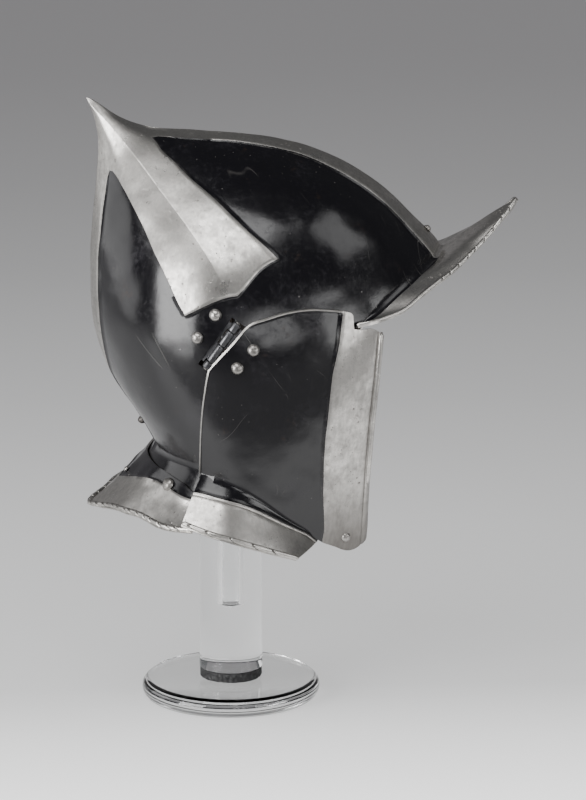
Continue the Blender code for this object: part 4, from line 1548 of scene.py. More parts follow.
    def add_bowl(self, sheets: Sheets, grid: Floats, level: Floats) -> tuple[Ints, Floats, Floats]:
        """Adds the bowl, closed round its whole way and at the tip.

        Args:
            sheets: What it is added to.
            grid: The right half's points.
            level: Their levels.

        Returns:
            Its vertex numbers, with the first column again at the end, and each vertex's
            level and ring, the tip first.
        """
        tip = sheets.add_points(BOWL.point(np.zeros(1), np.zeros(1)))
        around = join((grid, Side.LEFT.place(grid)[:, -2:0:-1]), axis=1)
        numbers = sheets.add_points(around)
        wrapped = join((numbers, numbers[:, :1]), axis=1)
        slots = self.slots()
        sheets.add_quads(wrapped, join((slots, slots[:, ::-1]), axis=1))
        first = wrapped[0]
        fan = np.stack((np.broadcast_to(tip, len(first) - 1), first[1:], first[:-1]), axis=-1)
        sheets.add_faces(fan, Slot.BRIGHT.value)

        def flat(values: Floats) -> Floats:
            """The tip's 0 and then the values of both halves, row by row."""
            full = join((values, values[:, -2:0:-1]), axis=1)
            return join(([0.0], full.ravel()))

        return wrapped[:, :-1], flat(level), flat(self.rings)

    def peak(self, grid: Floats, level: Floats) -> tuple[Floats, Floats]:
        """The peak's rows for the right half, from the fillet to the edge, and their levels.

        Args:
            grid: The bowl's points.
            level: Their levels.

        Returns:
            The peak's points and levels, by row and column.
        """
        count = self.brow + 1
        begin = grid[-1, :count]
        turn = self.turns[-1, :count]
        root = BOWL.point(turn, RIM(turn))
        steps = np.linalg.norm(np.diff(root[:, ::2], axis=0), axis=1)
        share = join(([0], np.cumsum(steps))) / steps.sum()
        edge = evenly_along(PEAK_EDGE, share)
        reach = np.linalg.norm(edge - root, axis=1, keepdims=True)
        fillet = np.minimum(self.fillet, 0.4 * reach)
        end = root + fillet * (edge - root) / reach
        part = parts(self.fillet_rows, 1)[..., None]
        bend = (1 - part) ** 2 * begin + 2 * part * (1 - part) * root + part**2 * end
        part = parts(self.peak_rows, 1)[..., None]
        crest = self.crest * np.exp(-((edge[:, 1:2] / self.crest_half_width) ** 2))
        flat = end + part * (edge - end) + crest * np.sin(math.pi * part) * (0, 0, 1.0)
        fade = np.linspace(1, 0, self.fillet_rows + 1)[1:, None] * level[-1, :count]
        points = join((bend, flat))
        points[:, 0, 1] = 0
        return points, join((fade, np.zeros((self.peak_rows, count))))

    def border(self, points: Floats, numbers: Ints) -> Floats:
        """Points along the borders of the bands, for the wear beside them.

        Args:
            points: All vertices.
            numbers: The bowl's vertex numbers, by row and column.

        Returns:
            The points.
        """
        half = len(self.turns[0])
        edges = np.flatnonzero(np.diff(self.zone)) + 1
        wanted = [edge for edge in edges if self.zone[edge] in (3, 5, 11, 13)]
        found = [points[numbers[-1, : self.brow]]]
        for column in wanted:
            front = self.turns[-1, column] < 1
            corner = self.front_corner if front else self.rear_corner
            rows = (self.rings[:, column] >= corner[0]) & (
                self.rings[:, column] < self.rear_band_end
            )
            if self.zone[column] in (5, 11):
                rows &= np.arange(len(rows)) <= self.upper_rows
            found.append(points[numbers[rows, column]])
            found.append(points[numbers[rows, 2 * (half - 1) - column]])
        row = numbers[self.upper_rows]
        low, high = (int(np.argmax(self.zone == zone)) for zone in (6, 10))
        found.append(points[row[low:high]])
        found.append(points[row[2 * (half - 1) - high : 2 * (half - 1) - low]])
        return join(found)


# ---- ropes on the edges
@dataclass(frozen=True)
class Rope:
    """A turned edge whose round bar is filed with slanting notches."""

    radius: float
    pitch: float
    slant: float
    cut: float
    width: float
    segments: int = 16
    spacing: float = 0.4

    def build(
        self,
        name: str,
        rows: Floats,
        up: Triple,
        notched: tuple[float, float],
        seed: int,
    ) -> Piece:
        """Makes the piece.

        A notch's depth at a point is cut * (1 - (gap / width)^2), where gap is the way
        along the rope from the middle of the nearest notch, slanted by the angle round it.

        Args:
            name: The piece's name.
            rows: The points that the middle line passes through.
            up: The way that the rope's top faces.
            notched: The shares of the length where the notches start and end.
            seed: Seed of the spacing's unevenness.

        Returns:
            The piece.
        """
        rough = evenly_along(rows, np.linspace(0, 1, 50))
        length = np.linalg.norm(np.diff(rough, axis=0), axis=1).sum()
        share = np.linspace(0, 1, int(length / self.spacing))
        draw = np.random.default_rng(seed)
        count = int(length * (notched[1] - notched[0]) / self.pitch)
        middles = (np.arange(count) + 0.5 + draw.uniform(-0.14, 0.14, count)) * self.pitch
        middles += notched[0] * length
        place = share[:, None] * length + self.slant * np.sin(angles_round(self.segments))
        gap = np.abs(place[..., None] - middles).min(axis=-1)
        notch = np.maximum(1 - (gap / self.width) ** 2, 0)
        # 1 at a notch's middle: the material darkens the file cuts by it.
        cut_darkening = np.maximum(1 - (gap / (0.62 * self.width)) ** 2, 0) ** 0.5
        taper = smooth_step(np.minimum(share, 1 - share) * length, -0.6, 2.0)[:, None]
        radius = (self.radius - self.cut * notch) * (0.35 + 0.65 * taper)
        sheets = Sheets()
        tube(sheets, evenly_along(rows, share), radius, up, self.segments)
        piece = sheets.build(name, [FINISHES.notched], 180)
        store(piece, cut=join((cut_darkening.ravel(), (0, 0))))
        return piece


class RopedEdges:
    """The ropes of the peak, the neck plate and the cheekpieces."""

    INSET = 2.5
    PEAK_INSET = 1.75
    PEAK = Rope(radius=1.55, pitch=10.0, slant=1.6, cut=0.7, width=0.75)
    NECK = Rope(radius=1.9, pitch=8.0, slant=2.6, cut=1.0, width=0.95)
    CHEEK = Rope(radius=1.9, pitch=15.5, slant=4.2, cut=1.0, width=0.95)

    def peak(self) -> Piece:
        """The rope along the peak's edge, notched towards the tip.

        Returns:
            The piece.
        """
        rows = whole_edge(np.array(PEAK_EDGE))
        inward = unit(np.array((60.0, 0, 300.0)) - rows) * (1, 1, 0.6)
        path = rows + self.PEAK_INSET * unit(inward) * (1.0, 1.0, 0.5)
        up = (-0.2, 0.0, 1.0)
        return self.PEAK.build("peak_rope", path, up, (0.19, 0.81), 3)

    def neck(self) -> Piece:
        """The rope along the neck plate's edge.

        Returns:
            The piece.
        """
        right = np.array(NECK_EDGE)
        turn = np.linspace(2, NECK_END_TURN, len(right))
        slope = unit(flare(turn, 0.9 + 0 * turn) - flare(turn, 1 + 0 * turn))
        slope[0, 1] = 0
        path = whole_edge(right) + self.INSET * whole_edge(slope)
        up = (0.0, 0.0, 1.0)
        return self.NECK.build("neck_rope", path, up, (0.01, 0.99), 5)

    def cheek(self, side: Side) -> Piece:
        """Makes the rope along a cheekpiece's flange.

        Args:
            side: The helmet's side.

        Returns:
            The piece.
        """
        rows = side.place(np.array(CHEEK_FLANGE_EDGE))
        right = Cheekpiece(Side.RIGHT)
        at = np.linspace(0, right.flanged, 12)
        low = side.place(right.face(at)[-1])
        rows = evenly_along(rows, at / right.flanged)
        path = rows + self.INSET * unit(low - rows)
        room = HALF_WIDTH - self.CHEEK.radius
        path[:, 1] = np.clip(path[:, 1], -room, room)
        name, up = f"cheek_rope_{side.word}", (0.0, -side.value, 1.0)
        return self.CHEEK.build(name, path, up, (0.0, 1.0), 9)


# ---- neck plate
@dataclass(frozen=True)
class NeckPlate:
    """The flared plate at the nape, black above and bright below a raised line."""

    plate: float = 1.4
    sunk: float = 0.7
    bevel: float = 0.45
    half_columns: int = 60
    upper_rows: int = 7
    lower_rows: int = 12
    top: Pairs = ((1.24, 0.45), (1.4, 0.26), (1.6, 0.18), (2.0, 0.11))
    paint_end: Pairs = (
        (1.24, 0.52), (1.3, 0.45), (1.42, 0.41), (1.6, 0.35), (1.72, 0.38), (1.86, 0.45),
        (2.0, 0.53),
    )

    def build(self) -> Piece:
        """Makes the piece.

        Returns:
            The piece.
        """
        turn = np.linspace(2, NECK_END_TURN, self.half_columns + 1)
        tops = np.array(self.top)
        top = np.interp(turn, tops[:, 0], tops[:, 1])
        ends = np.array(self.paint_end)
        paint = np.maximum(np.interp(turn, ends[:, 0], ends[:, 1]), top + 0.02)
        height = np.linalg.norm(flare(turn, 1 + 0 * turn) - flare(turn, 0 * turn), axis=-1)
        half = self.bevel / height
        above = top + (paint - half - top) * parts(self.upper_rows)
        below = paint + half + (1 - paint - half) * parts(self.lower_rows)
        share = join((above, below))
        right = flare(np.broadcast_to(turn, share.shape), share)
        right[:, 0, 1] = 0
        sheets = Sheets()
        grid = both_halves(right)
        numbers = sheets.add_points(grid)
        slots = np.zeros((len(grid) - 1, grid.shape[1] - 1), int)
        slots[self.upper_rows + 1 :] = Slot.BRIGHT.value
        sheets.add_quads(numbers, slots)
        sheets.turn_out((-0.3, 0, 1.0))
        level = np.zeros(grid.shape[:2])
        level[: self.upper_rows + 1] = -self.sunk * 0.6
        ridge = np.array((0.42, 0.2, 0.05))[:, None]
        level[self.upper_rows + 1 : self.upper_rows + 4] += ridge
        dents = Dents(21, 40, 12, 0.13)(sheets.points)
        sheets.swell(level.reshape(-1, 1) + dents)
        border = sheets.points[numbers[self.upper_rows]]
        away = distance_to(sheets.points, border)
        sheets.thicken(self.plate, Slot.INSIDE.value, Slot.BRIGHT.value)
        piece = sheets.build("neck_plate_shell", FINISHES.plate)
        store(piece, border=np.tile(away, 2) * MM)
        return piece


# ---- cheekpieces
@dataclass
class Cheekpiece:
    """A cheekpiece: a black plate with a bright front band and a bright flange below.

    Each station is a line down the plate: the X and Z of its upper end and lower end.
    """

    side: Side
    plate: float = 1.4
    sunk: float = 0.7
    bevel: float = 0.45
    stations: tuple[tuple[float, float, float, float], ...] = (
        (-17.5, 259.5, -22.6, 182.4), (-9.0, 269.3, -18.5, 181.8), (0.0, 279.3, -10.0, 179.2),
        (9.1, 289.3, -1.0, 175.0), (18.5, 292.9, 9.0, 169.5), (29.0, 295.9, 20.0, 161.6),
        (40.0, 298.1, 31.5, 152.4), (51.0, 298.8, 43.0, 143.6), (60.5, 298.1, 51.8, 137.1),
        (68.5, 297.0, 58.0, 130.4), (76.5, 295.2, 65.0, 126.2), (79.2, 293.0, 70.0, 123.6),
        (80.0, 284.2, 74.0, 121.0), (85.5, 283.4, 78.5, 119.3), (91.6, 283.6, 83.5, 119.6),
        (96.8, 281.0, 87.8, 122.0),
    )
    flanged: int = 9
    notch: int = 11
    band_station: float = 9.35
    band: Pairs = (
        (129.9, 59.9), (137.5, 61.2), (165.5, 59.9), (192.2, 60.0), (208.9, 60.8), (232.6, 62.7),
        (255.4, 65.0), (273.9, 69.2), (295.1, 71.9),
    )
    flange_paint: Pairs = ((0.0, 0.33), (2.0, 0.29), (5.0, 0.17), (7.0, 0.08), (9.0, 0.02))
    rows: int = 66
    paint_rows: int = 3
    flange_rows: int = 12
    sag: float = 0.5
    front_bow: float = 1.6
    rear_bow: float = 2.3
    turned_in: tuple[float, float] = (4.4, 6.5)
    turned_rows: int = 6
    end_rows: int = 6
    end_rise: tuple[float, float] = (-4.5, 4.0)
    line_depth: float = 0.4
    line_way: tuple[float, ...] = (1.6, 2.2, 2.8)
    lip: float = 0.06
    groove: float = 0.14
    roll: float = 1.9
    roll_place: Triple = (2.4, 1.3, 0.0)
    roll_end: float = 0.73

    def station_rows(self, at: Floats) -> Floats:
        """The upper and lower ends at station numbers, with the notch as a corner.

        Args:
            at: The station numbers.

        Returns:
            A station's row for each number.
        """
        table = np.array(self.stations)
        rear, front = table[: self.notch + 1], table[self.notch + 1 :]
        behind = natural_spline(rear, np.clip(at, 0, self.notch))
        ahead = natural_spline(front, np.clip(at - self.notch - 1, 0, len(front) - 1))
        share = np.clip(at - self.notch, 0, 1)[:, None]
        return behind * (1 - share) + ahead * share

    def columns(self) -> Floats:
        """The station numbers of the grid's columns.

        Returns:
            The numbers, from the rear to the front.
        """
        half = self.bevel / 9.0
        low, high = self.band_station - half, self.band_station + half
        last = len(self.stations) - 1.0
        return join(
            (
                (0.0,),
                np.linspace(self.lip, self.flanged, 4 * self.flanged + 1),
                (low, high),
                np.linspace(high, self.notch, 6)[1:],
                np.linspace(self.notch, self.notch + 1, 4)[1:],
                np.linspace(self.notch + 1, last - self.groove, 10)[1:],
                (last,),
            )
        )

    def face(self, at: Floats) -> Floats:
        """The grid of the plate above the flange, on the right side.

        Args:
            at: The station numbers of the grid's columns.

        Returns:
            The points, by row and column.
        """
        table = self.station_rows(at)
        share = np.append(0, np.linspace(0.1 * self.lip, 1, self.rows))[:, None]
        z = table[:, 1] * (1 - share) + table[:, 3] * share
        x = table[:, 0] * (1 - share) + table[:, 2] * share
        ahead = at / (len(self.stations) - 1)
        x = x - self.front_bow * np.sin(math.pi * share) * ahead**4
        rear = self.rear_bow * np.sin(math.pi * share**0.8) * np.clip(1 - at / 4, 0, 1) ** 2
        x = x - rear
        line = self.station_rows(np.array([self.band_station]))[0]
        drawn = np.array(self.band)
        straight = np.interp(z, (line[3], line[1]), (line[2], line[0]))
        shift = np.interp(z, drawn[:, 0], drawn[:, 1]) - straight
        near = np.interp(at, (5.0, self.band_station, 13.5), (0, 1, 0))
        x = x + shift * near * near * (3 - 2 * near)
        places = np.stack([x.ravel(), z.ravel()], axis=1)
        return BOWL.lifted(places, LAP).reshape(*x.shape, 3)

    def build(self) -> Piece:
        """Makes the piece.

        Returns:
            The piece.
        """
        at = self.columns()
        grid = self.face(at)
        sheets = Sheets()
        numbers = sheets.add_points(grid)
        slots = np.full((len(grid) - 1, len(at) - 1), Slot.BLACK.value)
        slots[:, at[:-1] >= self.band_station] = Slot.BRIGHT.value
        slots[0] = Slot.BRIGHT.value
        sheets.add_quads(numbers, slots)
        painted = (at < self.band_station) * 1.0
        level = np.tile(-self.sunk * painted, (len(grid), 1))
        level[0] = level[:, 0] = 0
        level[:, -1] = -self.line_depth
        levels = [level.ravel()]

        count = int(np.argmax(at >= self.flanged)) + 1
        low = grid[-1, :count]
        edge = evenly_along(CHEEK_FLANGE_EDGE, at[:count] / self.flanged)
        reach = np.linalg.norm(edge - low, axis=-1)
        drawn = np.array(self.flange_paint)
        paint = np.interp(at[:count], drawn[:, 0], drawn[:, 1])
        half = self.bevel / reach
        above = np.maximum(paint - half, 0.004) * parts(self.paint_rows, 1)
        part = parts(self.flange_rows)
        start = np.maximum(paint + half, 0.012)
        lines = start + np.array(self.line_way)[:, None] / reach
        below = join((start[None], lines[:-1], lines[-1] * (1 - part) + part))
        share = join((above, below))[..., None]
        sag = self.sag * np.sin(math.pi * share) * np.array((0, 0, 1.0))
        flange = low + share * (edge - low) - sag
        added = sheets.add_points(flange)
        rows = join((numbers[-1:, :count], added))
        slots = np.full((len(rows) - 1, count - 1), Slot.BRIGHT.value)
        slots[: self.paint_rows + 1] = Slot.BLACK.value
        sheets.add_quads(rows, slots)
        level = np.zeros(flange.shape[:2])
        level[: self.paint_rows] = -self.sunk
        level[self.paint_rows + 2] = -self.line_depth
        levels.append(level.ravel())

        forward, inward = self.turned_in
        part = parts(self.turned_rows, 1)[:, 0]
        ahead = forward * (1 - (1 - part) ** 1.6)
        across = inward * part**1.5
        rise = np.zeros((len(grid), 1))
        rise[: self.end_rows, 0] = np.linspace(self.end_rise[0], 0, self.end_rows)
        rise[-self.end_rows :, 0] = np.linspace(0, self.end_rise[1], self.end_rows)
        moved = np.stack(np.broadcast_arrays(ahead, across, rise * part), axis=-1)
        added = sheets.add_points(grid[:, -1:] + moved)
        sheets.add_quads(join((numbers[:, -1:], added), axis=1), Slot.BRIGHT.value)
        levels.append(np.zeros(len(part) * len(grid)))

        sheets.turn_out((0, -1.0, 0))
        sheets.points = self.side.place(sheets.points)
        if self.side is Side.LEFT:
            sheets.faces = [faces[:, ::-1] for faces in sheets.faces]
        seed = 31 if self.side is Side.RIGHT else 32
        dents = Dents(seed, 60, 20, 0.15)(sheets.points) + Dents(5, 16, 8, 0.03)(sheets.points)
        lift = join(levels)[:, None] + dents
        sheets.swell(lift)
        sheets.points[:, 1] = np.clip(sheets.points[:, 1], -HALF_WIDTH, HALF_WIDTH)
        column = int(np.argmax(at >= self.band_station)) - 1
        border = join((sheets.points[numbers[:, column]], sheets.points[rows[self.paint_rows, :]]))
        away = distance_to(sheets.points, border)
        lines = np.zeros(len(sheets.points))
        # Painted shade: the sunk groove beside the turned-in front edge and the sunk line on the
        # flange are marked here, and the steel is painted dark along them.
        lines[numbers[:, -1]] = lines[rows[self.paint_rows + 3]] = 1
        # Darker towards the bottom: 1 below z = 120 mm, 0 above 185 mm, and only ahead of x = 55
        # mm.
        soil = smooth_step(sheets.points[:, 2], 185, 120) * (sheets.points[:, 0] > 55)
        self.edge_line = sheets.points[numbers[:, -1]]
        sheets.thicken(self.plate, Slot.INSIDE.value, Slot.BRIGHT.value)
        piece = sheets.build(f"cheek_plate_{self.side.word}", FINISHES.plate)
        store(piece, border=np.tile(away, 2) * MM, line=np.tile(lines, 2), soil=np.tile(soil, 2))
        return piece

    def build_roll(self) -> Piece:
        """Makes the round roll along the turned-in front edge, which stops above the tab.

        Returns:
            The piece.
        """
        last = int(self.roll_end * len(self.edge_line))
        line = self.edge_line[1:last]
        line = line + self.side.place(np.array(self.roll_place))
        ends = np.minimum(np.arange(len(line)), np.arange(len(line))[::-1])
        radius = self.roll * smooth_step(ends, -2.0, 2.5)
        sheets = Sheets()
        tube(sheets, line, radius, (1.0, 0.0, 0.0), 14)
        piece = sheets.build(f"cheek_roll_{self.side.word}", [FINISHES.bright], 180)
        store(piece, border=np.full(len(piece.data.vertices), 0.01))
        return piece


# ---- hinges
@dataclass(frozen=True)
class Hinge:
    """A cheekpiece's hinge: its pin's line on the right side, its knuckles and leaves."""

    centre: Triple = (-9.7, -97.8, 276.0)
    lean: float = 54.4
    knuckles: tuple[float, ...] = (7.0, 11.2, 13.2, 5.0)
    gap: float = 0.3
    radius: float = 3.0
    pin: float = 1.3
    plate: float = 1.1
    half_length: float = 16.5
    reach: float = 22.0
    clearance: float = 3.9
    slot: Triple = (19.8, 5.4, 26.0)
    slot_depth: float = 9.0
    slot_room: float = 5.0
    spacing: float = 1.5
    finger_lift: float = 0.12
    skull_level: float = -2.4
    cheek_level: float = -0.4

    @property
    def along(self) -> Floats:
        """The unit vector up the pin."""
        lean = math.radians(self.lean)
        return np.array((math.cos(lean), 0.0, math.sin(lean)))

    @property
    def back(self) -> Floats:
        """The unit vector square to the pin, to the rear."""
        lean = math.radians(self.lean)
        return np.array((-math.sin(lean), 0.0, math.cos(lean)))

    def place(self, lengthwise: Floats, back: Floats) -> Floats:
        """Points of the right hinge, up the pin and to its rear.

        Args:
            lengthwise: How far up the pin.
            back: How far to the rear of it.

        Returns:
            One point for each pair.
        """
        lengthwise, back = np.broadcast_arrays(lengthwise, back)
        moved = lengthwise[..., None] * self.along + back[..., None] * self.back
        return np.array(self.centre) + moved

    def spans(self) -> list[tuple[float, float]]:
        """The lower and upper end of each knuckle along the pin, the top one first.

        Returns:
            Pairs of lower and upper end.
        """
        top = (sum(self.knuckles) + self.gap * (len(self.knuckles) - 1)) / 2
        found = []
        for length in self.knuckles:
            found.append((top - length, top))
            top -= length + self.gap
        return found

    def cut_slot(self, skull: Piece, side: Side) -> None:
        """Cuts the slot for the barrel out of the skull.

        Four planes divide the faces near the slot, the faces between the planes go, and
        the edges left on the outer and the inner wall are joined by new faces.

        Args:
            skull: The skull's piece.
            side: The helmet's side.
        """
        half, behind, ahead = self.slot
        centre = side.place(np.array(self.centre))
        mesh = bmesh.new()
        mesh.from_mesh(skull.data)

        def near(room: float) -> list[bmesh.types.BMFace]:
            """The faces whose middles lie within room of the slot."""
            faces = list(mesh.faces)
            away = np.array([face.calc_center_median() for face in faces]) / MM - centre
            up, back = away @ self.along, away @ self.back
            held = (abs(up) < half + room) & (abs(away[:, 1]) < self.slot_depth)
            held &= (back < behind + room) & (back > -ahead - room)
            return [faces[number] for number in np.flatnonzero(held)]

        planes = ((self.along, half), (-self.along, half), (self.back, behind))
        for normal, way in (*planes, (-self.back, ahead)):
            faces = near(self.slot_room)
            edges = {edge for face in faces for edge in face.edges}
            corners = {corner for face in faces for corner in face.verts}
            bmesh.ops.bisect_plane(
                mesh, geom=[*faces, *edges, *corners], dist=1e-7,
                plane_co=Vector((centre + normal * way) * MM), plane_no=Vector(normal),
            )
        bmesh.ops.delete(mesh, geom=near(0.0), context="FACES")
        rims = [edge for edge in mesh.edges if edge.is_boundary]
        for edge in rims:
            edge.smooth = False
        bmesh.ops.bridge_loops(mesh, edges=rims)
        mesh.to_mesh(skull.data)
        mesh.free()

    def patch(
        self,
        spans: tuple[float, float],
        reach: tuple[float, float],
        level: float,
        side: Side,
        sheets: Sheets,
    ) -> None:
        """Adds a closed piece of plate that follows the skull's form near the pin.

        Args:
            spans: Where it starts and ends along the pin.
            reach: Where it starts and ends square to the pin.
            level: How far its outer face lies outside the skull's form.
            side: The helmet's side.
            sheets: What it is added to.
        """
        rows = max(int(abs(reach[1] - reach[0]) / self.spacing), 3)
        columns = max(int((spans[1] - spans[0]) / self.spacing), 3)
        back = np.linspace(*reach, rows)[:, None]
        lengthwise = np.linspace(*spans, columns)[None]
        places = self.place(lengthwise, back)[..., ::2].reshape(-1, 2)
        own = Sheets()
        grid = side.place(BOWL.lifted(places, level)).reshape(rows, columns, 3)
        own.add_quads(own.add_points(grid))
        own.turn_out((0, -side.value, 0.0))
        own.swell(Dents(41, 14, 6, 0.05)(own.points))
        own.thicken(self.plate, 0, 0)
        start = len(sheets.points)
        sheets.add_points(own.points)
        for faces in own.faces:
            sheets.add_faces(faces + start)

    def build_leaf(self, side: Side, owned: tuple[int, ...], way: int, level: float) -> Piece:
        """Makes a leaf with its fingers and knuckles.

        Args:
            side: The helmet's side.
            owned: The numbers of its knuckles, from the top.
            way: 1 for the skull's leaf and -1 for the cheekpiece's.
            level: How far it lies outside the skull's form.

        Returns:
            The piece.
        """
        sheets = Sheets()
        half = self.half_length
        reach = (way * self.clearance, way * self.reach)
        self.patch((-half, half), reach, level, side, sheets)
        for number in owned:
            low, top = self.spans()[number]
            span = (max(low, -half), min(top, half))
            finger = (way * 1.2, way * (self.clearance + 1.5))
            self.patch(span, finger, level + self.finger_lift, side, sheets)
            outer, inner = self.radius, self.pin + 0.25
            end = ((0, 0.5), (inner, 0.5), (inner, 0.15), (inner + 0.25, 0.0))
            end += ((outer - 1.0, 0.0), (outer - 0.4, 0.2), (outer - 0.1, 0.55), (outer, 1.1))
            profile = ends_alike(end, top - low)
            foot = side.place(self.place(np.array(low), np.array(0.0)))
            lathe(sheets, profile, foot, side.place(self.along), 28, 0.012)
        word = "skull" if way > 0 else "cheek"
        return sheets.build(f"hinge_{word}_half_{side.word}", [FINISHES.hinge])

    def build_pin(self, side: Side) -> Piece:
        """Makes the pin, with a slightly spread head at each end.

        Args:
            side: The helmet's side.

        Returns:
            The piece.
        """
        low, top = self.spans()[-1][0] - 1.0, self.spans()[0][1] + 1.0
        end = ((0, 0), (1.15, 0.05), (1.5, 0.4), (1.45, 0.8), (self.pin, 1.1))
        sheets = Sheets()
        foot = side.place(self.place(np.array(low), np.array(0.0)))
        lathe(sheets, ends_alike(end, top - low), foot, side.place(self.along), 20)
        return sheets.build(f"hinge_pin_body_{side.word}", [FINISHES.rivet])


HINGE = Hinge()


# ---- rivets
class SideRivet(NamedTuple):
    """A domed rivet on a side surface, as seen from the side."""

    name: str
    x: float
    z: float
    radius: float
    height: float
    lift: float
    body: str


class Rivets:
    """All the rivet heads: domes with a thin rim, none of them quite round."""

    SIDE_RIVETS = (
        SideRivet("hinge_rivet_skull_upper", -13.8, 296.8, 4.2, 2.7, 0.0, ROOT_BODY),
        SideRivet("hinge_rivet_skull_lower", -26.2, 281.1, 4.2, 2.7, 0.0, ROOT_BODY),
        SideRivet("hinge_rivet_cheek_upper", 11.6, 273.2, 4.2, 2.7, LAP, "cheek"),
        SideRivet("hinge_rivet_cheek_lower", 0.7, 261.2, 4.2, 2.7, LAP, "cheek"),
        SideRivet("strap_rivet", 77.2, 129.7, 3.6, 1.8, LAP, "cheek"),
    )
    GAP = 0.3
    SINK = 0.2
    SIDE_SINK = 0.75
    SIDE_EXTRA = 0.5
    STEP_WIDTH = 0.35
    STEP_HEIGHT = 0.45

    def head(
        self,
        node: str,
        foot: Floats,
        out: Floats,
        radius: float,
        height: float,
        body: str,
        dark: bool = False,
    ) -> None:
        """Makes one head, riding on its body in place of its node.

        Args:
            node: The node that it stands for.
            foot: The middle of its foot.
            out: The way that it faces.
            radius: Its radius.
            height: Its height.
            body: The body that it rides on.
            dark: Whether it is of dark steel.
        """
        angle = np.linspace(0, math.pi / 2, 12)[1:-1]
        across = (radius - self.STEP_WIDTH) * np.cos(angle)
        high = self.STEP_HEIGHT + (height - self.STEP_HEIGHT) * np.sin(angle)
        dome = np.stack([across, high], axis=1)
        rim = [(0, 0), (radius - 0.15, 0.0), (radius, 0.18), (radius - 0.05, 0.36)]
        profile = join((rim, dome, [(0, height)]))
        sheets = Sheets()
        lathe(sheets, profile, foot, unit(out), 36, 0.018)
        own = Dents(sum(map(ord, node)), 7, 3, 0.05)
        sheets.swell(own(sheets.points))
        steel = FINISHES.dark_rivet if dark else FINISHES.rivet
        piece = sheets.build(f"{node}_head", [steel], 60)
        settle(piece, body, "black_steel" if dark else "bright_steel", node)

    def build(self) -> None:
        """Makes them all."""
        for rivet in self.SIDE_RIVETS:
            turn, ring = BOWL.seen_at(np.array([(rivet.x, rivet.z)]))
            out = BOWL.normal(turn, ring)[0]
            foot = BOWL.point(turn, ring)[0] + (rivet.lift + self.GAP - self.SIDE_SINK) * out
            for side in Side:
                body = f"cheek_{side.word}" if rivet.body == "cheek" else ROOT_BODY
                self.head(
                    f"{rivet.name}_{side.word}", side.place(foot), side.place(out), rivet.radius,
                    rivet.height + self.SIDE_EXTRA, body,
                )
        out = np.array((0.74, 0, 0.67))
        foot = natural_spline(BOWL.front, np.array(10.37)) + (self.GAP - self.SINK) * out
        self.head("ridge_rivet", foot, out, 2.9, 2.5, ROOT_BODY)
        out = np.array((-0.85, 0, -0.52))
        foot = natural_spline(BOWL.rear, np.array(13.47)) - self.GAP * out
        self.head("nape_rivet", foot, out, 3.2, 3.6, ROOT_BODY, dark=True)
        foot = flare(1.5, 0.35, self.GAP - self.SINK)
        out = unit(flare(1.5, 0.35, 1.0) - flare(1.5, 0.35))
        for side in Side:
            node = f"neck_rivet_{side.word}"
            self.head(node, side.place(foot), side.place(out), 4.8, 3.4, ROOT_BODY)
        foot = flare(2.0, 0.42, self.GAP - self.SINK) * (1, 0, 1)
        out = (flare(2.0, 0.42, 1.0) - flare(2.0, 0.42)) * (1, 0, 1)
        self.head("lining_rivet", foot, out, 2.2, 1.6, ROOT_BODY)


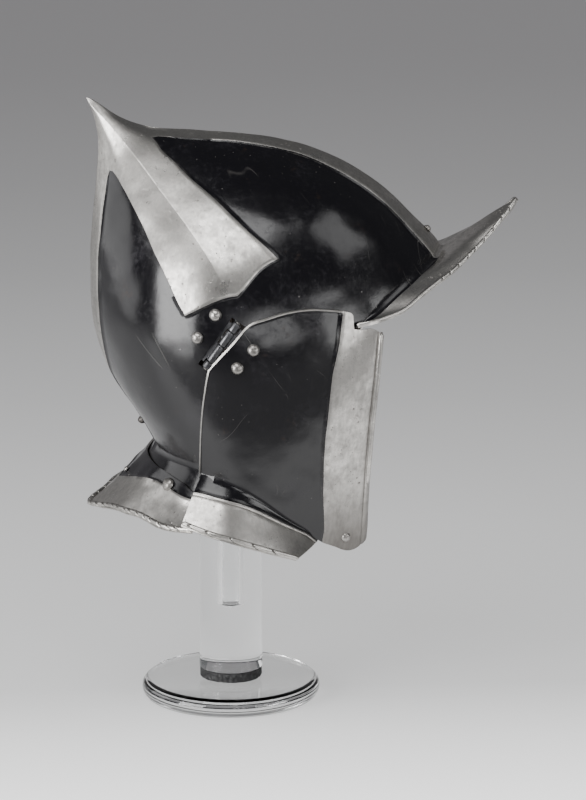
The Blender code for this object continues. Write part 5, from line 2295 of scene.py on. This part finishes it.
# ---- stand
@dataclass(frozen=True)
class Stand:
    """The stand: a turned foot, a crumb pad, a drilled post, and the rod and cap inside."""

    foot_radius: float = 63.5
    foot_height: float = 12.7
    gap: float = 0.3
    pad_radius: float = 22.2
    pad_height: float = 7.0
    post_radius: float = 22.5
    post_top: float = 192.0
    bore: float = 6.3
    bore_floor: float = 68.0
    bore_tip: float = 64.4
    rod_radius: float = 5.8
    rod_top: float = 384.0
    cap_radius: float = 20.0
    cap_height: float = 12.0

    def profiles(self) -> dict[str, tuple[str, int, int, tuple[Triple, ...]]]:
        """Each node's piece name, steps of a rounding, count of segments and corners.

        Returns:
            Them, by the name of the node.
        """
        foot, top, pad, post = self.foot_radius, self.foot_height, self.pad_radius, self.post_radius
        low = top + self.gap
        pad_top = low + self.pad_height
        post_low = pad_top + self.gap
        rod, rod_low, rod_top = self.rod_radius, self.bore_floor + self.gap, self.rod_top
        cap, cap_low = self.cap_radius, rod_top + self.gap
        cap_top = cap_low + self.cap_height
        disc = ((0, 0, 0), (foot - 2.4, 0, 1.8), (foot, 3.8, 2.2))
        disc += ((foot, top - 4.2, 2.4), (foot - 3.4, top, 2.6), (0, top, 0))
        crumb = ((0, low, 0), (pad, low, 0.8), (pad, pad_top, 0.8), (0, pad_top, 0))
        drilled = ((0, post_low, 0), (post, post_low, 0.8), (post, self.post_top, 1.0))
        drilled += ((self.bore, self.post_top, 0.4), (self.bore, self.bore_floor, 0.4))
        drilled += ((0, self.bore_tip, 0),)
        inner = ((0, rod_low, 0), (rod, rod_low, 0.6), (rod, rod_top, 0.6), (0, rod_top, 0))
        dome = ((0, cap_low, 0), (cap, cap_low, 0.8), (cap, cap_low + 5.0, 4.0))
        dome += ((11.0, cap_top - 0.2, 6.0), (0, cap_top, 0))
        return {
            "stand_foot": ("foot_disc", 8, 128, disc), "stand_gasket": ("crumb_pad", 4, 96, crumb),
            "stand_post": ("post_rod", 5, 96, drilled), "stand_rod": ("inner_rod", 4, 48, inner),
            "stand_pad": ("cap_dome", 10, 72, dome),
        }

    def build(self) -> None:
        """Makes the pieces, each in place of its node."""
        up = np.array((0.0, 0.0, 1.0))
        for node, (name, steps, segments, corners) in self.profiles().items():
            sheets = Sheets()
            lathe(sheets, rounded(corners, steps), np.zeros(3), up, segments)
            rubber = node == "stand_gasket"
            if rubber:
                crumbs = Dents(51, 5, 1.6, 0.28)(sheets.points)
                rim = np.linalg.norm(sheets.points[:, :2], axis=1, keepdims=True) > 20
                sheets.swell(-np.abs(crumbs) * rim)
            piece = sheets.build(name, [FINISHES.pad if rubber else FINISHES.acrylic], 40)
            settle(piece, ROOT_BODY, "black_rubber" if rubber else "clear_acrylic", node)


# ---- studio
@dataclass(frozen=True)
class Softbox:
    """A soft lamp: where it is seen from the helmet, its size and its strength."""

    name: str
    azimuth: float
    elevation: float
    away: float
    width: float
    height: float
    watts: float


@dataclass(frozen=True)
class Studio:
    """The floor with its curved backdrop, the lamps and the camera."""

    target: Triple = (44.49, 0.0, 214.25)
    azimuth: float = -3.5
    elevation: float = 13.5
    away: float = 2600.0
    lens: float = 166.1
    floor_start: float = -3500.0
    floor_end: float = 3000.0
    bend: float = 1200.0
    wall_top: float = 4200.0
    half_width: float = 4000.0
    glow_length: float = 7250.0
    air: float = 0.11
    lamps: tuple[Softbox, ...] = (
        Softbox("top_lamp", -22, 60, 1300, 1000, 700, 12.0),
        Softbox("right_high_lamp", 71, 50, 1400, 650, 500, 2.2),
        Softbox("right_low_lamp", 64, 16, 1500, 500, 450, 3.6),
        Softbox("left_lamp", -56, 10, 1500, 900, 900, 30.0),
        Softbox("left_edge_lamp", -110, 16, 1500, 800, 1000, 4.2),
        Softbox("front_lamp", 8, 8, 2300, 700, 350, 3.4),
        Softbox("right_front_lamp", 36, 8, 1500, 500, 700, 4.6),
    )

    def direction(self, azimuth: float, elevation: float) -> Floats:
        """The unit vector from the helmet to a place seen at some angles.

        Args:
            azimuth: Degrees round from the right side.
            elevation: Degrees up.

        Returns:
            The vector.
        """
        turn, rise = math.radians(azimuth), math.radians(elevation)
        flat = math.cos(rise)
        return np.array((math.sin(turn) * flat, -math.cos(turn) * flat, math.sin(rise)))

    def aim(self, thing: Piece, place: Floats) -> None:
        """Puts a lamp or camera at a place, looking at the target.

        Args:
            thing: The lamp or camera.
            place: Where it stands.
        """
        target = np.array(self.target)
        thing.location = Vector(place * MM)
        look = Vector(unit(target - place))
        thing.rotation_mode = "QUATERNION"
        thing.rotation_quaternion = look.to_track_quat("-Z", "Y")

    def build(self) -> None:
        """Makes the floor, the backdrop, the lamps and the camera."""
        self.ground()
        for lamp in self.lamps:
            data = bpy.data.lights.new(lamp.name, "AREA")
            data.shape = "RECTANGLE"
            data.size = lamp.width * MM
            data.size_y = lamp.height * MM
            data.energy = lamp.watts
            toward = lamp.away * self.direction(lamp.azimuth, lamp.elevation)
            self.aim(in_scene(lamp.name, data), np.array(self.target) + toward)
        world = bpy.data.worlds.new("studio_air")
        bpy.context.scene.world = world
        world.use_nodes = True
        air = world.node_tree.nodes["Background"]
        air.inputs["Color"].default_value = (0.80, 0.82, 0.86, 1)
        air.inputs["Strength"].default_value = self.air
        data = bpy.data.cameras.new("camera")
        data.lens = self.lens
        data.sensor_width = 36.0
        data.clip_end = 20.0
        camera = bpy.context.scene.camera = in_scene("camera", data)
        toward = self.away * self.direction(self.azimuth, self.elevation)
        self.aim(camera, np.array(self.target) + toward)

    def ground(self) -> None:
        """Makes the floor, which curves up into the backdrop."""
        start, back, bend, top = self.floor_start, self.floor_end, self.bend, self.wall_top
        angle = np.linspace(0, math.pi / 2, 13)[1:]
        level = np.linspace(start, back, 34)
        y = join((level, back + bend * np.sin(angle), [back + bend]))
        z = join((0 * level, bend * (1 - np.cos(angle)), [top]))
        x = np.array((-self.half_width, self.half_width))
        grid = np.stack(np.broadcast_arrays(x[None], y[:, None], z[:, None] - 0.2), axis=-1)
        sheets = Sheets()
        sheets.add_quads(sheets.add_points(grid))
        sheets.turn_out((0, -0.5, 1.0))
        floor = sheets.build("studio_ground", [FINISHES.ground], 180)
        store(floor, way_back=np.clip((sheets.points[:, 1] - start) / self.glow_length, 0, 1))


# ---- all of it
def settle(piece: Piece, body: str, slot: str, *nodes: str) -> None:
    """Lets a piece ride on a body and stand for its nodes, whose parts it hides.

    Args:
        piece: The piece.
        body: The body's name.
        slot: The record's slot; not used.
        nodes: The nodes that it stands for.
    """
    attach(piece, body)
    if nodes:
        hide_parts(*nodes)
    log.info("built %s, %d vertices", piece.name, len(piece.data.vertices))


def main() -> None:
    """Builds every piece and the studio, in order."""
    logging.basicConfig(level=logging.INFO, format="%(message)s")
    settle(Skull().build(), ROOT_BODY, "black_steel", "skull")
    settle(NeckPlate().build(), ROOT_BODY, "black_steel", "neck_plate")
    ropes = RopedEdges()
    settle(ropes.peak(), ROOT_BODY, "bright_steel")
    settle(ropes.neck(), ROOT_BODY, "bright_steel")
    for side in Side:
        body = f"cheek_{side.word}"
        cheek = Cheekpiece(side)
        settle(cheek.build(), body, "black_steel", f"cheekpiece_{side.word}")
        settle(cheek.build_roll(), body, "bright_steel")
        settle(ropes.cheek(side), body, "bright_steel")
        skull_leaf = HINGE.build_leaf(side, (0, 2), 1, HINGE.skull_level)
        settle(skull_leaf, ROOT_BODY, "black_steel", f"hinge_leaf_skull_{side.word}")
        cheek_leaf = HINGE.build_leaf(side, (1, 3), -1, HINGE.cheek_level)
        settle(cheek_leaf, body, "black_steel", f"hinge_leaf_cheek_{side.word}")
        pin = HINGE.build_pin(side)
        settle(pin, ROOT_BODY, "bright_steel", f"hinge_pin_{side.word}")
    Rivets().build()
    Stand().build()
    Studio().build()


if __name__ == "__main__":
    main()
